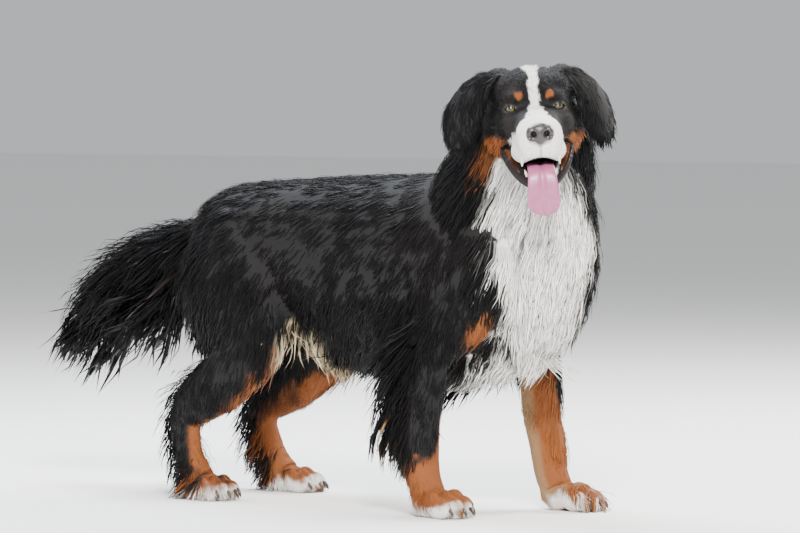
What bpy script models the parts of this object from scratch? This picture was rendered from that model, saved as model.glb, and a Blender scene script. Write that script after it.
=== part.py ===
"""A Bernese mountain dog, life size, standing with its head turned to its right. Metres, +Z up, +X ahead.

Run it with: blender --background --python part.py
"""

import math
import random
from functools import partial

import bmesh
import bpy
import numpy as np
from mathutils import Matrix, Vector
from mathutils.bvhtree import BVHTree

# Driving sizes of the dog
CHEST_HALF_WIDTH = 0.151
STANCE_HALF_WIDTH = 0.122
BONE = 0.036
GAP = 0.0003

# About how many triangles each form keeps before its locks are fused on
BUDGET = {"body": 1100, "tail": 160, "paw": 140, "head": 640, "nose": 240, "jaw": 160, "ear": 190}

# Where the head sits, and how it is turned: yaw to the dog's right, pitch down, roll
HEAD_AT = Vector((0.424, -0.130, 0.773))
HEAD_YAW, HEAD_PITCH, HEAD_ROLL = math.radians(-50), math.radians(4), math.radians(4)

for old in list(bpy.data.objects):
    bpy.data.objects.remove(old)

DOG = bpy.data.collections.new("bernese_mountain_dog")
bpy.context.scene.collection.children.link(DOG)


def add_object(name, mesh):
    obj = bpy.data.objects.new(name, mesh)
    DOG.objects.link(obj)
    return obj


def discard(*objects):
    for obj in objects:
        mesh = obj.data
        bpy.data.objects.remove(obj)
        if mesh.users == 0:
            bpy.data.meshes.remove(mesh)


def applied(obj):
    """The object with its modifiers made real."""
    bpy.context.view_layer.update()
    graph = bpy.context.evaluated_depsgraph_get()
    mesh = bpy.data.meshes.new_from_object(obj.evaluated_get(graph))
    obj.modifiers.clear()
    old, obj.data = obj.data, mesh
    bpy.data.meshes.remove(old)
    return obj


def between(stations, per_span):
    """Catmull-Rom rows through the stations' numbers, so that a few stations give a smooth run."""
    rows = np.array(stations, float)
    padded = np.vstack([2 * rows[0] - rows[1], rows, 2 * rows[-1] - rows[-2]])
    out = []
    for i in range(len(rows) - 1):
        p0, p1, p2, p3 = padded[i:i + 4]
        for t in np.arange(per_span) / per_span:
            out.append(0.5 * (2 * p1 + (p2 - p0) * t + (2 * p0 - 5 * p1 + 4 * p2 - p3) * t * t
                              + (3 * p1 - p0 - 3 * p2 + p3) * t ** 3))
    out.append(rows[-1])
    return np.array(out)


def loft(stations, sides=20, per_span=4, across=(0, 1, 0), power=2.0, egg=0.0):
    """A closed body lofted through stations (x, y, z, half size across, half size the other way).

    power squares the section off above 2, and egg makes it wider on its lower side."""
    rows = between(stations, per_span)
    centres = rows[:, :3]
    sizes = np.maximum(rows[:, 3:5], 0.0015)
    tangents = np.gradient(centres, axis=0)
    bm = bmesh.new()
    rings = []
    for centre, (half_a, half_b), tangent in zip(centres, sizes, tangents):
        along = Vector(tangent).normalized()
        side = Vector(across)
        side = (side - side.dot(along) * along).normalized()
        other = along.cross(side)
        ring = []
        for k in range(sides):
            angle = math.tau * k / sides
            c, s = math.cos(angle), math.sin(angle)
            a = math.copysign(abs(c) ** (2 / power), c) * half_a * (1 - egg * s)
            b = math.copysign(abs(s) ** (2 / power), s) * half_b
            ring.append(bm.verts.new(Vector(centre) + side * a + other * b))
        rings.append(ring)
    for low, high in zip(rings, rings[1:]):
        for k in range(sides):
            bm.faces.new((low[k], low[(k + 1) % sides], high[(k + 1) % sides], high[k]))
    bm.faces.new(rings[0][::-1])
    bm.faces.new(rings[-1])
    bmesh.ops.recalc_face_normals(bm, faces=bm.faces)
    mesh = bpy.data.meshes.new("loft")
    bm.to_mesh(mesh)
    bm.free()
    return mesh


def ball(centre, sizes, turn=None, segments=24, rings=14):
    """An ellipsoid of these half sizes."""
    bm = bmesh.new()
    bmesh.ops.create_uvsphere(bm, u_segments=segments, v_segments=rings, radius=1)
    matrix = Matrix.Translation(centre) @ (turn or Matrix.Identity(4)) @ Matrix.Diagonal((*sizes, 1))
    bm.transform(matrix)
    mesh = bpy.data.meshes.new("ball")
    bm.to_mesh(mesh)
    bm.free()
    return mesh


def fused(name, meshes, voxel, smooth=0, factor=0.5):
    """One skin over all these overlapping bodies, its creases smoothed."""
    bm = bmesh.new()
    for mesh in meshes:
        bm.from_mesh(mesh)
        bpy.data.meshes.remove(mesh)
    joined = bpy.data.meshes.new(name)
    bm.to_mesh(joined)
    bm.free()
    obj = add_object(name, joined)
    remesh = obj.modifiers.new("Remesh", "REMESH")
    remesh.mode = "VOXEL"
    remesh.voxel_size = voxel
    if smooth:
        soften = obj.modifiers.new("Smooth", "SMOOTH")
        soften.iterations = smooth
        soften.factor = factor
    return applied(obj)


# The trunk under half its coat: (x, y, middle z, half width, half height)
W = CHEST_HALF_WIDTH
TRUNK = [
    (-0.474, 0, 0.490, 0.030, 0.040),
    (-0.460, 0, 0.488, 0.50 * W, 0.085),
    (-0.410, 0, 0.486, 0.78 * W, 0.122),
    (-0.315, 0, 0.484, 0.88 * W, 0.140),
    (-0.190, 0, 0.474, 0.89 * W, 0.158),
    (-0.050, 0, 0.460, 0.95 * W, 0.180),
    (0.080, 0, 0.450, 1.00 * W, 0.193),
    (0.170, 0, 0.452, 1.00 * W, 0.197),
    (0.255, 0, 0.455, 0.94 * W, 0.183),
    (0.325, 0, 0.455, 0.78 * W, 0.150),
    (0.375, 0, 0.450, 0.52 * W, 0.102),
    (0.395, 0, 0.447, 0.030, 0.040),
]
NECK = [
    (0.150, 0.000, 0.500, 0.125, 0.120),
    (0.245, 0.000, 0.565, 0.138, 0.146),
    (0.308, -0.006, 0.650, 0.130, 0.138),
    (0.340, -0.024, 0.725, 0.112, 0.118),
    (0.352, -0.040, 0.785, 0.084, 0.088),
]
THROAT = [
    (0.320, 0.000, 0.320, 0.060, 0.040),
    (0.360, 0.000, 0.400, 0.092, 0.062),
    (0.384, -0.008, 0.490, 0.106, 0.070),
    (0.388, -0.026, 0.590, 0.104, 0.074),
    (0.384, -0.058, 0.660, 0.084, 0.068),
    (0.382, -0.080, 0.705, 0.060, 0.050),
]
TAIL = [
    (-0.410, 0.000, 0.520, 0.040, 0.040),
    (-0.500, 0.000, 0.505, 0.035, 0.036),
    (-0.590, 0.000, 0.486, 0.031, 0.032),
    (-0.675, 0.000, 0.456, 0.027, 0.030),
    (-0.755, 0.000, 0.408, 0.021, 0.025),
    (-0.808, 0.000, 0.350, 0.010, 0.013),
]


def foreleg(side, elbow_x, wrist_x, wrist_y):
    """One front leg, shoulder to pastern. side is 1 for the dog's left and -1 for its right."""
    y = side * STANCE_HALF_WIDTH
    return [
        (0.215, side * 0.075, 0.600, 0.036, 0.050),
        (0.262, side * 0.098, 0.520, 0.048, 0.070),
        (0.285, side * 0.108, 0.450, 0.054, 0.078),
        (0.245, side * 0.112, 0.385, 0.052, 0.072),
        (elbow_x + 0.015, y, 0.320, 0.049, 0.058),
        (0.6 * elbow_x + 0.4 * wrist_x + 0.008, 0.6 * y + 0.4 * wrist_y, 0.250, 0.043, 0.046),
        (0.3 * elbow_x + 0.7 * wrist_x, 0.3 * y + 0.7 * wrist_y, 0.180, 1.06 * BONE, 1.12 * BONE),
        (wrist_x, wrist_y, 0.120, 1.05 * BONE, 1.08 * BONE),
        (wrist_x + 0.008, wrist_y, 0.070, 1.0 * BONE, 0.98 * BONE),
        (wrist_x + 0.024, wrist_y, 0.036, 1.0 * BONE, 0.95 * BONE),
    ]


def hindleg(side, knee, hock, foot):
    """One hind leg from hip to foot. knee and hock are (x, z), foot is x, and y comes from the stance."""
    y = side * (STANCE_HALF_WIDTH - 0.008)
    return [
        (-0.330, side * 0.070, 0.560, 0.045, 0.070),
        (-0.330, side * 0.085, 0.490, 0.062, 0.120),
        (-0.320, side * 0.098, 0.420, 0.066, 0.130),
        (0.5 * (knee[0] - 0.305) - 0.024, side * 0.106, 0.355, 0.058, 0.110),
        (knee[0] - 0.050, y, knee[1] - 0.015, 0.048, 0.070),
        (0.5 * (knee[0] - 0.02 + hock[0]), y, 0.5 * (knee[1] + hock[1]) - 0.012, 0.040, 0.064),
        (hock[0] + 0.038, y, hock[1] + 0.020, 0.031, 0.054),
        (hock[0] + 0.010, y, hock[1] - 0.022, 0.027, 0.037),
        (0.5 * (hock[0] + foot) - 0.004, y, 0.095, 0.027, 0.031),
        (foot - 0.014, y, 0.052, 0.031, 0.034),
        (foot + 0.010, y, 0.032, 0.033, 0.034),
    ]


# Right legs are the near ones in the picture
LEFT_WRIST = (0.262, 0.136)
RIGHT_WRIST = (0.152, -0.122)
FORELEGS = {
    "left": foreleg(1, 0.228, *LEFT_WRIST),
    "right": foreleg(-1, 0.155, *RIGHT_WRIST),
}
LEFT_FOOT = -0.380
RIGHT_FOOT = -0.404
HINDLEGS = {
    "left": hindleg(1, (-0.186, 0.335), (-0.443, 0.170), LEFT_FOOT),
    "right": hindleg(-1, (-0.205, 0.335), (-0.452, 0.170), RIGHT_FOOT),
}


# Each paw: where its heel stands (x, y), its heading, length, width and height
HIND_Y = STANCE_HALF_WIDTH - 0.008
PAWS = {
    "left_forepaw": ((LEFT_WRIST[0] + 0.026, LEFT_WRIST[1]), 12, 0.105, 0.088, 0.058),
    "right_forepaw": ((RIGHT_WRIST[0] + 0.026, RIGHT_WRIST[1]), -4, 0.105, 0.088, 0.058),
    "left_hindpaw": ((LEFT_FOOT + 0.010, HIND_Y), 8, 0.098, 0.080, 0.054),
    "right_hindpaw": ((RIGHT_FOOT + 0.010, -HIND_Y), -8, 0.098, 0.080, 0.054),
}
PAW_TOP = 0.062
TOES = ((0.45, -0.36), (0.60, -0.125), (0.60, 0.125), (0.45, 0.36))


def paw_form(name, voxel=0.0045):
    """A pad block under the pastern and four arched toes, one skin over all."""
    heel, heading, length, width, height = PAWS[name]
    turn = Matrix.Rotation(math.radians(heading), 4, "Z")
    at = Matrix.Translation((*heel, 0)) @ turn
    half = 0.128 * width
    blocks = [
        ball(at @ Vector((0.006, 0, 0.45 * height)), (0.038, 0.44 * width, 0.58 * height), turn),
        loft([(*(at @ Vector((-0.006, 0, 0)))[:2], 0.02, 0.37 * width, 0.032),
              (*(at @ Vector((-0.012, 0, 0)))[:2], 0.05, 0.38 * width, 0.033),
              (*(at @ Vector((-0.018, 0, 0)))[:2], 0.08, 0.38 * width, 0.034)]),
    ]
    for reach, spread in TOES:
        toe_turn = turn @ Matrix.Rotation(0.35 * spread, 4, "Z")
        toe = at @ Vector((reach * length, spread * width, 0.36 * height))
        blocks.append(ball(toe, (0.29 * length, half, 0.40 * height), toe_turn))
        knuckle = at @ Vector((reach * length - 0.018, spread * width, 0.52 * height))
        blocks.append(ball(knuckle, (0.24 * length, half, 0.42 * height), toe_turn))
    return fused(name, blocks, voxel, 5)


def claw_meshes(name):
    """Four short horn claws, bent down from the toe tips."""
    heel, heading, length, width, height = PAWS[name]
    turn = Matrix.Rotation(math.radians(heading), 4, "Z")
    at = Matrix.Translation((*heel, 0)) @ turn
    made = []
    for reach, spread in TOES:
        tip = reach * length + 0.27 * length
        stations = [
            (tip - 0.012, spread * width, 0.023, 0.0042, 0.0050),
            (tip - 0.001, spread * width, 0.018, 0.0036, 0.0040),
            (tip + 0.006, spread * width, 0.007, 0.0016, 0.0016),
        ]
        claw = loft(stations, 4, 1)
        claw.transform(at)
        made.append(claw)
    return made


def body_form(voxel=0.007):
    """Trunk, neck and legs under one skin, without head, tail and paws."""
    meshes = [loft(TRUNK, 32, egg=-0.06), loft(NECK, 28), loft(THROAT, 24)]
    meshes += [loft(rows, 20) for rows in FORELEGS.values()]
    meshes += [loft(rows, 20) for rows in HINDLEGS.values()]
    return fused("body", meshes, voxel, 8)


def tail_form(voxel=0.006):
    return fused("tail", [loft(TAIL, 16)], voxel, 4)


# The head in its own frame: x to the nose, y to the dog's left, z up, from a point between the eyes
HEAD = (Matrix.Translation(HEAD_AT) @ Matrix.Rotation(HEAD_YAW, 4, "Z")
        @ Matrix.Rotation(HEAD_PITCH, 4, "Y") @ Matrix.Rotation(HEAD_ROLL, 4, "X"))
EYE_SPAN = 0.043
EYE_RADIUS = 0.0115
EYE_BACK = -0.008
EYE_TURN = math.radians(16)
MUZZLE = [
    (-0.030, 0, -0.036, 0.060, 0.052),
    (0.015, 0, -0.038, 0.053, 0.043),
    (0.055, 0, -0.046, 0.047, 0.041),
    (0.088, 0, -0.049, 0.045, 0.040),
    (0.107, 0, -0.052, 0.038, 0.035),
    (0.116, 0, -0.055, 0.018, 0.018),
]
JAW = [
    (-0.070, 0, -0.070, 0.056, 0.034),
    (-0.030, 0, -0.084, 0.063, 0.032),
    (0.010, 0, -0.101, 0.056, 0.026),
    (0.045, 0, -0.119, 0.044, 0.020),
    (0.072, 0, -0.131, 0.033, 0.016),
    (0.086, 0, -0.135, 0.020, 0.011),
]


def mirrored(make):
    """What make gives for the dog's left and for its right."""
    return [mesh for side in (1, -1) for mesh in make(side)]


def head_side(side):
    """The paired masses of one side: brow, cheek, cheekbone, hanging lip."""
    turn = Matrix.Rotation(side * math.radians(-8), 4, "Z")
    return [
        ball((-0.014, side * 0.034, 0.018), (0.027, 0.028, 0.018)),
        ball((-0.020, side * EYE_SPAN, 0.000), (0.024, 0.024, 0.022)),
        ball((-0.058, side * 0.044, 0.026), (0.052, 0.036, 0.040)),
        ball((-0.062, side * 0.046, -0.040), (0.054, 0.046, 0.056)),
        ball((-0.082, side * 0.058, 0.040), (0.038, 0.032, 0.034)),
        ball((-0.020, side * 0.048, -0.030), (0.040, 0.028, 0.030)),
        ball((0.046, side * 0.027, -0.076), (0.052, 0.026, 0.024), turn),
        ball((0.084, side * 0.018, -0.070), (0.024, 0.021, 0.022), turn),
    ]


def press(obj, centre, radius, move):
    """Moves the surface near centre by move, fading with distance over radius."""
    count = len(obj.data.vertices)
    points = np.empty(count * 3, np.float32)
    obj.data.vertices.foreach_get("co", points)
    points = points.reshape(-1, 3)
    near = np.exp(-((points - np.array(centre)) ** 2).sum(1) / radius ** 2)
    obj.data.vertices.foreach_set("co", (points + near[:, None] * np.array(move)).ravel())


def head_form(voxel=0.004, smooth=22):
    """Skull and upper muzzle in the head's frame, without lids, mouth or nose."""
    blocks = [
        ball((-0.078, 0, 0.006), (0.082, 0.076, 0.066)),
        ball((-0.040, 0, 0.022), (0.050, 0.054, 0.048)),
        loft(MUZZLE, 24, power=2.5),
    ] + mirrored(head_side)
    head = fused("head", blocks, voxel, smooth)
    press(head, (0.016, 0, 0.010), 0.020, (-0.004, 0, -0.002))
    press(head, (-0.004, 0, 0.052), 0.012, (-0.003, 0, -0.001))
    press(head, (-0.036, 0, 0.074), 0.014, (0, 0, -0.003))
    for side in (1, -1):
        press(head, (0.012, side * 0.034, -0.004), 0.013, (-0.004, 0, 0))
        press(head, (0.030, side * 0.052, -0.030), 0.018, (0, -side * 0.004, 0))
    return head


def eye_place(side):
    """The eye's own frame: x out of the eye, y towards the dog's left."""
    return Matrix.Translation((EYE_BACK, side * EYE_SPAN, 0)) @ Matrix.Rotation(side * EYE_TURN, 4, "Z")


def lid_opening(side):
    """The almond between the lids, lofted from corner to corner and cut right through them."""
    stations = [
        (0.012, -0.0112 * side, -0.0012, 0.012, 0.0004),
        (0.012, -0.0060 * side, 0.0000, 0.012, 0.0038),
        (0.012, 0.0000, 0.0004, 0.012, 0.0050),
        (0.012, 0.0060 * side, 0.0004, 0.012, 0.0036),
        (0.012, 0.0106 * side, 0.0000, 0.012, 0.0004),
    ]
    mesh = loft(stations, 12, 2, across=(1, 0, 0))
    mesh.transform(eye_place(side))
    return mesh


NOSE_AT = Vector((0.111, 0, -0.0375))


def nose_side(side):
    return [ball(NOSE_AT + Vector((0.001, side * 0.0155, -0.001)), (0.0115, 0.0105, 0.0145))]


def nose_form(voxel=0.0022):
    """The nose leather with both nostrils: a round hole with a slit that runs out and down."""
    blocks = [
        ball(NOSE_AT, (0.0145, 0.0225, 0.0185)),
        ball(NOSE_AT + Vector((-0.003, 0, -0.013)), (0.012, 0.0100, 0.009)),
    ] + mirrored(nose_side)
    nose = fused("nose", blocks, voxel, 8)
    for side in (1, -1):
        press(nose, NOSE_AT + Vector((0.013, side * 0.0120, -0.002)), 0.0048, (-0.0060, 0, 0.0005))
        press(nose, NOSE_AT + Vector((0.009, side * 0.0200, -0.007)), 0.0038, (-0.0030, -side * 0.0030, 0))
    press(nose, NOSE_AT + Vector((0.016, 0, -0.008)), 0.0032, (-0.0014, 0, 0))
    return nose


TONGUE = [
    (0.000, 0, -0.104, 0.022, 0.0060),
    (0.045, 0, -0.102, 0.024, 0.0065),
    (0.076, 0, -0.104, 0.025, 0.0060),
    (0.094, 0, -0.116, 0.026, 0.0055),
    (0.101, 0.000, -0.138, 0.028, 0.0050),
    (0.100, 0.000, -0.162, 0.030, 0.0048),
    (0.097, 0.001, -0.180, 0.026, 0.0042),
    (0.095, 0.001, -0.188, 0.015, 0.0034),
    (0.094, 0.001, -0.191, 0.004, 0.0015),
]
MOUTH = [
    (-0.012, 0, -0.094, 0.020, 0.010),
    (0.020, 0, -0.096, 0.030, 0.014),
    (0.060, 0, -0.100, 0.031, 0.016),
    (0.100, 0, -0.106, 0.026, 0.020),
    (0.130, 0, -0.110, 0.024, 0.022),
]
JAW_TROUGH = [
    (-0.020, 0, -0.076, 0.034, 0.016),
    (0.010, 0, -0.086, 0.033, 0.016),
    (0.045, 0, -0.102, 0.027, 0.014),
    (0.074, 0, -0.114, 0.021, 0.010),
    (0.084, 0, -0.117, 0.012, 0.006),
]
# The ear flap's middle line from root to tip, on the dog's left: (x, y, z, half width, turn of its width)
EAR = [
    (-0.078, 0.040, 0.046, 0.028, 5),
    (-0.074, 0.064, 0.060, 0.032, 16),
    (-0.067, 0.089, 0.048, 0.037, 36),
    (-0.060, 0.114, 0.016, 0.040, 48),
    (-0.052, 0.127, -0.020, 0.038, 54),
    (-0.045, 0.134, -0.054, 0.028, 56),
    (-0.042, 0.136, -0.072, 0.012, 56),
]
EAR_CUP = 0.012
EAR_THICK = 0.008
EAR_SPREAD = {1: 0.93, -1: 1.04}


def ear_form(side, columns=8):
    """The hanging flap: a sheet bowed out along its middle, so that its inner face is the cup."""
    rows = between(EAR, 3)
    bm = bmesh.new()
    grid = []
    for x, y, z, half, turn in rows:
        wide = Vector((-math.cos(math.radians(turn)), math.sin(math.radians(turn)), 0))
        out = Vector((math.sin(math.radians(turn)), math.cos(math.radians(turn)), 0.25)).normalized()
        line = []
        for k in range(columns + 1):
            t = 2 * k / columns - 1
            point = Vector((x, y, z)) + wide * half * t + out * EAR_CUP * (1 - t * t)
            point.y *= side * EAR_SPREAD[side]
            line.append(bm.verts.new(point))
        grid.append(line)
    for low, high in zip(grid, grid[1:]):
        for k in range(columns):
            bm.faces.new((low[k], low[k + 1], high[k + 1], high[k]))
    mesh = bpy.data.meshes.new("ear")
    bm.to_mesh(mesh)
    bm.free()
    ear = add_object("ear", mesh)
    thick = ear.modifiers.new("Thickness", "SOLIDIFY")
    thick.thickness = EAR_THICK
    thick.offset = 0
    applied(ear)
    flap = ear.data
    ear.data = bpy.data.meshes.new("none")
    discard(ear)
    return fused("ear", [flap], 0.0026, 6)


def thinned(obj, triangles):
    """The object with about this many triangles."""
    obj.data.calc_loop_triangles()
    cut = obj.modifiers.new("Decimate", "DECIMATE")
    cut.ratio = min(1.0, triangles / len(obj.data.loop_triangles))
    return applied(obj)


def copy_of(obj, name):
    return add_object(name, obj.data.copy())


def grown(obj, by):
    """A copy with its surface moved out along its normals."""
    mesh = obj.data.copy()
    normals = [Vector(v.normal) for v in mesh.vertices]
    for vertex, normal in zip(mesh.vertices, normals):
        vertex.co += normal * by
    return add_object("grown", mesh)


def in_order(obj):
    """Sorts the mesh's points and faces by place, so that every build gives the same numbering."""
    mesh = obj.data
    points = np.empty(len(mesh.vertices) * 3, np.float32)
    mesh.vertices.foreach_get("co", points)
    points = points.reshape(-1, 3).astype(float).round(7)
    order = np.lexsort(points.T)
    number = np.empty(len(order), int)
    number[order] = np.arange(len(order))
    faces = []
    for polygon in mesh.polygons:
        face = [int(number[i]) for i in polygon.vertices]
        first = face.index(min(face))
        faces.append(face[first:] + face[:first])
    sorted_mesh = bpy.data.meshes.new(mesh.name)
    sorted_mesh.from_pydata(points[order].tolist(), [], sorted(faces))
    obj.data = sorted_mesh
    bpy.data.meshes.remove(mesh)
    return obj


def boolean(obj, others, operation):
    """Unites, cuts or intersects obj with the others, which are used up."""
    for other in others:
        step = obj.modifiers.new(operation, "BOOLEAN")
        step.operation = operation
        step.object = other
        step.solver = "EXACT"
    applied(obj)
    discard(*others)
    return in_order(obj)


def largest(obj):
    """Keeps only the largest closed surface of the object."""
    bm = bmesh.new()
    bm.from_mesh(obj.data)
    left = set(bm.faces)
    shells = []
    while left:
        stack = [left.pop()]
        shell = set(stack)
        while stack:
            for edge in stack.pop().edges:
                for face in edge.link_faces:
                    if face in left:
                        left.discard(face)
                        shell.add(face)
                        stack.append(face)
        shells.append(shell)
    shells.sort(key=lambda shell: sum(face.calc_area() for face in shell))
    scraps = [face for shell in shells[:-1] for face in shell]
    bmesh.ops.delete(bm, geom=scraps, context="FACES")
    bm.to_mesh(obj.data)
    bm.free()
    return in_order(obj)


def block(low, high, turn=None, extra=0.0):
    """A box between two corners, grown by extra on every side."""
    low, high = Vector(low) - Vector((extra,) * 3), Vector(high) + Vector((extra,) * 3)
    bm = bmesh.new()
    bmesh.ops.create_cube(bm, size=1)
    middle, size = (low + high) / 2, high - low
    bm.transform((turn or Matrix.Identity(4)) @ Matrix.Translation(middle) @ Matrix.Diagonal((*size, 1)))
    mesh = bpy.data.meshes.new("block")
    bm.to_mesh(mesh)
    bm.free()
    return mesh


def foreleg_cutter(side, extra):
    """Shoulder and foreleg, split from the trunk by a bowl-shaped face."""
    at = Vector((0.205, side * 0.178, 0.415))
    shoulder = add_object("cutter", ball(at, tuple(r + extra for r in (0.135, 0.098, 0.155)), None, 16, 9))
    y = sorted((side * 0.058, side * 0.280))
    leg = add_object("cutter", block((0.000, y[0], PAW_TOP), (0.400, y[1], 0.340), None, extra))
    return boolean(shoulder, [leg], "UNION")


def hindleg_cutter(side, extra):
    """Thigh and lower leg, split from the rump in the same way."""
    at = Vector((-0.345, side * 0.172, 0.440))
    thigh = add_object("cutter", ball(at, tuple(r + extra for r in (0.185, 0.112, 0.165)), None, 16, 9))
    y = sorted((side * 0.022, side * 0.280))
    leg = add_object("cutter", block((-0.640, y[0], PAW_TOP), (-0.110, y[1], 0.325), None, extra))
    return boolean(thigh, [leg], "UNION")


def knee_cutter(extra):
    """The lower leg from the knee down, on a slanted plane."""
    turn = Matrix.Translation((-0.30, 0, 0.285)) @ Matrix.Rotation(math.radians(-22), 4, "Y")
    return add_object("cutter", block((-0.5, -0.5, -0.6), (0.5, 0.5, 0.0), turn, extra))


def neck_cutter(extra):
    """The neck, split from the shoulders on a slanted plane."""
    turn = Matrix.Translation((0.262, 0, 0.575)) @ Matrix.Rotation(math.radians(38), 4, "Y")
    return add_object("cutter", block((-0.6, -0.5, 0.0), (0.6, 0.5, 0.6), turn, extra))


def part_off(piece, cutter, name):
    """Takes what lies in the cutter off piece, as a new object, and leaves a gap between them.

    cutter makes the cutting form, grown by the number that it is given."""
    inside = copy_of(piece, name)
    boolean(inside, [cutter(0.0)], "INTERSECT")
    boolean(piece, [cutter(GAP)], "DIFFERENCE")
    return largest(inside)


def clear_of(obj, *others):
    """Cuts obj back until it keeps a gap to each of the others."""
    boolean(obj, [grown(other, GAP) for other in others], "DIFFERENCE")
    return largest(obj)


def split_body():
    """The nodes of the body, cut from one skin."""
    body = thinned(body_form(), BUDGET["body"])
    body.name = "torso"
    tail = thinned(tail_form(), BUDGET["tail"])
    clear_of(tail, body)
    nodes = {"tail": tail}
    floor = add_object("cutter", block((-1, -1, -1), (1, 1, PAW_TOP)))
    boolean(body, [floor], "DIFFERENCE")
    for side, name in ((1, "left"), (-1, "right")):
        nodes[name + "_foreleg"] = part_off(body, partial(foreleg_cutter, side), name + "_foreleg")
        thigh = part_off(body, partial(hindleg_cutter, side), name + "_thigh")
        nodes[name + "_shank"] = part_off(thigh, knee_cutter, name + "_shank")
        nodes[name + "_thigh"] = largest(thigh)
    nodes["neck"] = part_off(body, neck_cutter, "neck")
    nodes["torso"] = largest(body)
    return nodes


def paw_node(name):
    paw = thinned(paw_form(name), BUDGET["paw"])
    room = add_object("cutter", block((-1, -1, 0), (1, 1, PAW_TOP - GAP)))
    boolean(paw, [room], "INTERSECT")
    claws = [add_object("claw", mesh) for mesh in claw_meshes(name)]
    boolean(paw, claws, "UNION")
    return largest(paw)


def head_nodes():
    """Head, jaw, nose, tongue, eyes and ears, each clear of the others, in the head's frame."""
    head = thinned(head_form(), BUDGET["head"])
    nose = thinned(nose_form(), BUDGET["nose"])
    tongue = add_object("tongue", loft(TONGUE, 10, 1))
    jaw = thinned(fused("jaw", [loft(JAW, 20)], 0.004, 4), BUDGET["jaw"])
    nodes = {"head": head, "nose": nose, "tongue": tongue, "jaw": jaw}
    for side, name in ((1, "left"), (-1, "right")):
        ear = thinned(ear_form(side), BUDGET["ear"])
        ear.name = name + "_ear"
        nodes[name + "_ear"] = ear
        boolean(head, [grown(ear, GAP)], "DIFFERENCE")
        lid = add_object("lid", ball((0, 0, 0), (EYE_RADIUS + 0.0030,) * 3, None, 10, 7))
        lid.data.transform(eye_place(side))
        boolean(head, [lid], "UNION")
        boolean(head, [add_object("cutter", lid_opening(side))], "DIFFERENCE")
        eye = add_object(name + "_eye", ball((0, 0, 0), (EYE_RADIUS,) * 3, None, 10, 7))
        eye.data.transform(eye_place(side))
        boolean(head, [grown(eye, GAP)], "DIFFERENCE")
        nodes[name + "_eye"] = eye
    boolean(head, [grown(jaw, GAP)], "DIFFERENCE")
    boolean(head, [add_object("cutter", loft(MOUTH, 12, 1))], "DIFFERENCE")
    boolean(head, [grown(nose, 2 * GAP)], "DIFFERENCE")
    clear_of(head, tongue)
    boolean(jaw, [add_object("cutter", loft(JAW_TROUGH, 12, 1))], "DIFFERENCE")
    clear_of(jaw, tongue)
    for node in nodes.values():
        node.data.transform(HEAD)
    return nodes


# The long coat's tracts. Each lock of a tract grows in the box on its node, where the skin faces the given
# way, and lies along its own direction. hang is 0 where locks follow the body and 1 where they fall free.
def tract(node, low, high, facing, spacing, length, half_width, lie, lift, hang=0.0, sink=0.012):
    return {"node": node, "low": Vector(low), "high": Vector(high), "facing": Vector(facing).normalized(),
            "spacing": spacing, "length": length, "half_width": half_width,
            "lie": Vector(lie).normalized(), "lift": lift, "hang": hang, "sink": sink}


TRACTS = [
    tract("tail", (-0.87, -0.1, 0.30), (-0.73, 0.1, 0.50), (-0.5, 0, -0.4), 0.026, 0.160, 0.018,
          (-0.72, 0, -0.69), 0.02, 1.0),
    tract("tail", (-0.74, -0.1, 0.30), (-0.61, 0.1, 0.60), (0, 0, -1), 0.038, 0.225, 0.024,
          (-0.56, 0, -0.83), 0.02, 0.95),
    tract("tail", (-0.62, -0.1, 0.30), (-0.49, 0.1, 0.60), (0, 0, -1), 0.038, 0.210, 0.023,
          (-0.40, 0, -0.92), 0.02, 0.95),
    tract("tail", (-0.80, -0.1, 0.30), (-0.50, 0.1, 0.60), (0, 0, 1), 0.054, 0.125, 0.019,
          (-0.92, 0, -0.39), 0.018, 0.0),
    tract("torso", (-0.26, -0.10, 0.20), (-0.12, 0.10, 0.40), (0, 0, -1), 0.050, 0.100, 0.022,
          (0.10, 0, -0.99), 0.02, 0.9),
    tract("torso", (-0.12, -0.12, 0.20), (0.34, 0.12, 0.36), (0, 0, -1), 0.070, 0.090, 0.026,
          (-0.62, 0, -0.78), 0.016, 0.7),
    tract("torso", (-0.46, -0.2, 0.54), (0.20, 0.2, 0.70), (0, 0, 1), 0.118, 0.120, 0.030,
          (-1.0, 0, -0.10), 0.008),
    tract("torso", (-0.50, -0.2, 0.36), (-0.40, 0.2, 0.56), (-1, 0, 0), 0.052, 0.110, 0.022,
          (-0.15, 0, -0.98), 0.020, 0.5),
    tract("torso", (-0.22, -0.2, 0.34), (0.12, 0.2, 0.56), (0, -1, 0), 0.120, 0.115, 0.030,
          (-0.80, 0, -0.60), 0.010),
    tract("torso", (-0.22, -0.2, 0.34), (0.12, 0.2, 0.56), (0, 1, 0), 0.120, 0.115, 0.030,
          (-0.80, 0, -0.60), 0.010),
    tract("torso", (0.25, -0.2, 0.26), (0.50, 0.2, 0.60), (1, 0, 0), 0.072, 0.105, 0.026,
          (0.05, 0, -1.0), 0.010, 0.1),
    tract("neck", (0.25, -0.2, 0.40), (0.50, 0.2, 0.68), (1, -0.1, 0), 0.072, 0.110, 0.026,
          (0.10, 0, -1.0), 0.012, 0.2),
    tract("neck", (0.20, -0.25, 0.45), (0.42, 0.0, 0.76), (-0.2, -1, 0), 0.086, 0.120, 0.029,
          (-0.35, -0.1, -0.94), 0.014),
    tract("neck", (0.20, 0.0, 0.45), (0.42, 0.25, 0.76), (-0.2, 1, 0), 0.086, 0.120, 0.029,
          (-0.35, 0.1, -0.94), 0.006),
    tract("neck", (0.10, -0.2, 0.55), (0.40, 0.2, 0.84), (-0.8, 0, 0.6), 0.088, 0.120, 0.029,
          (-0.75, 0, -0.66), 0.020),
]


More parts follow.
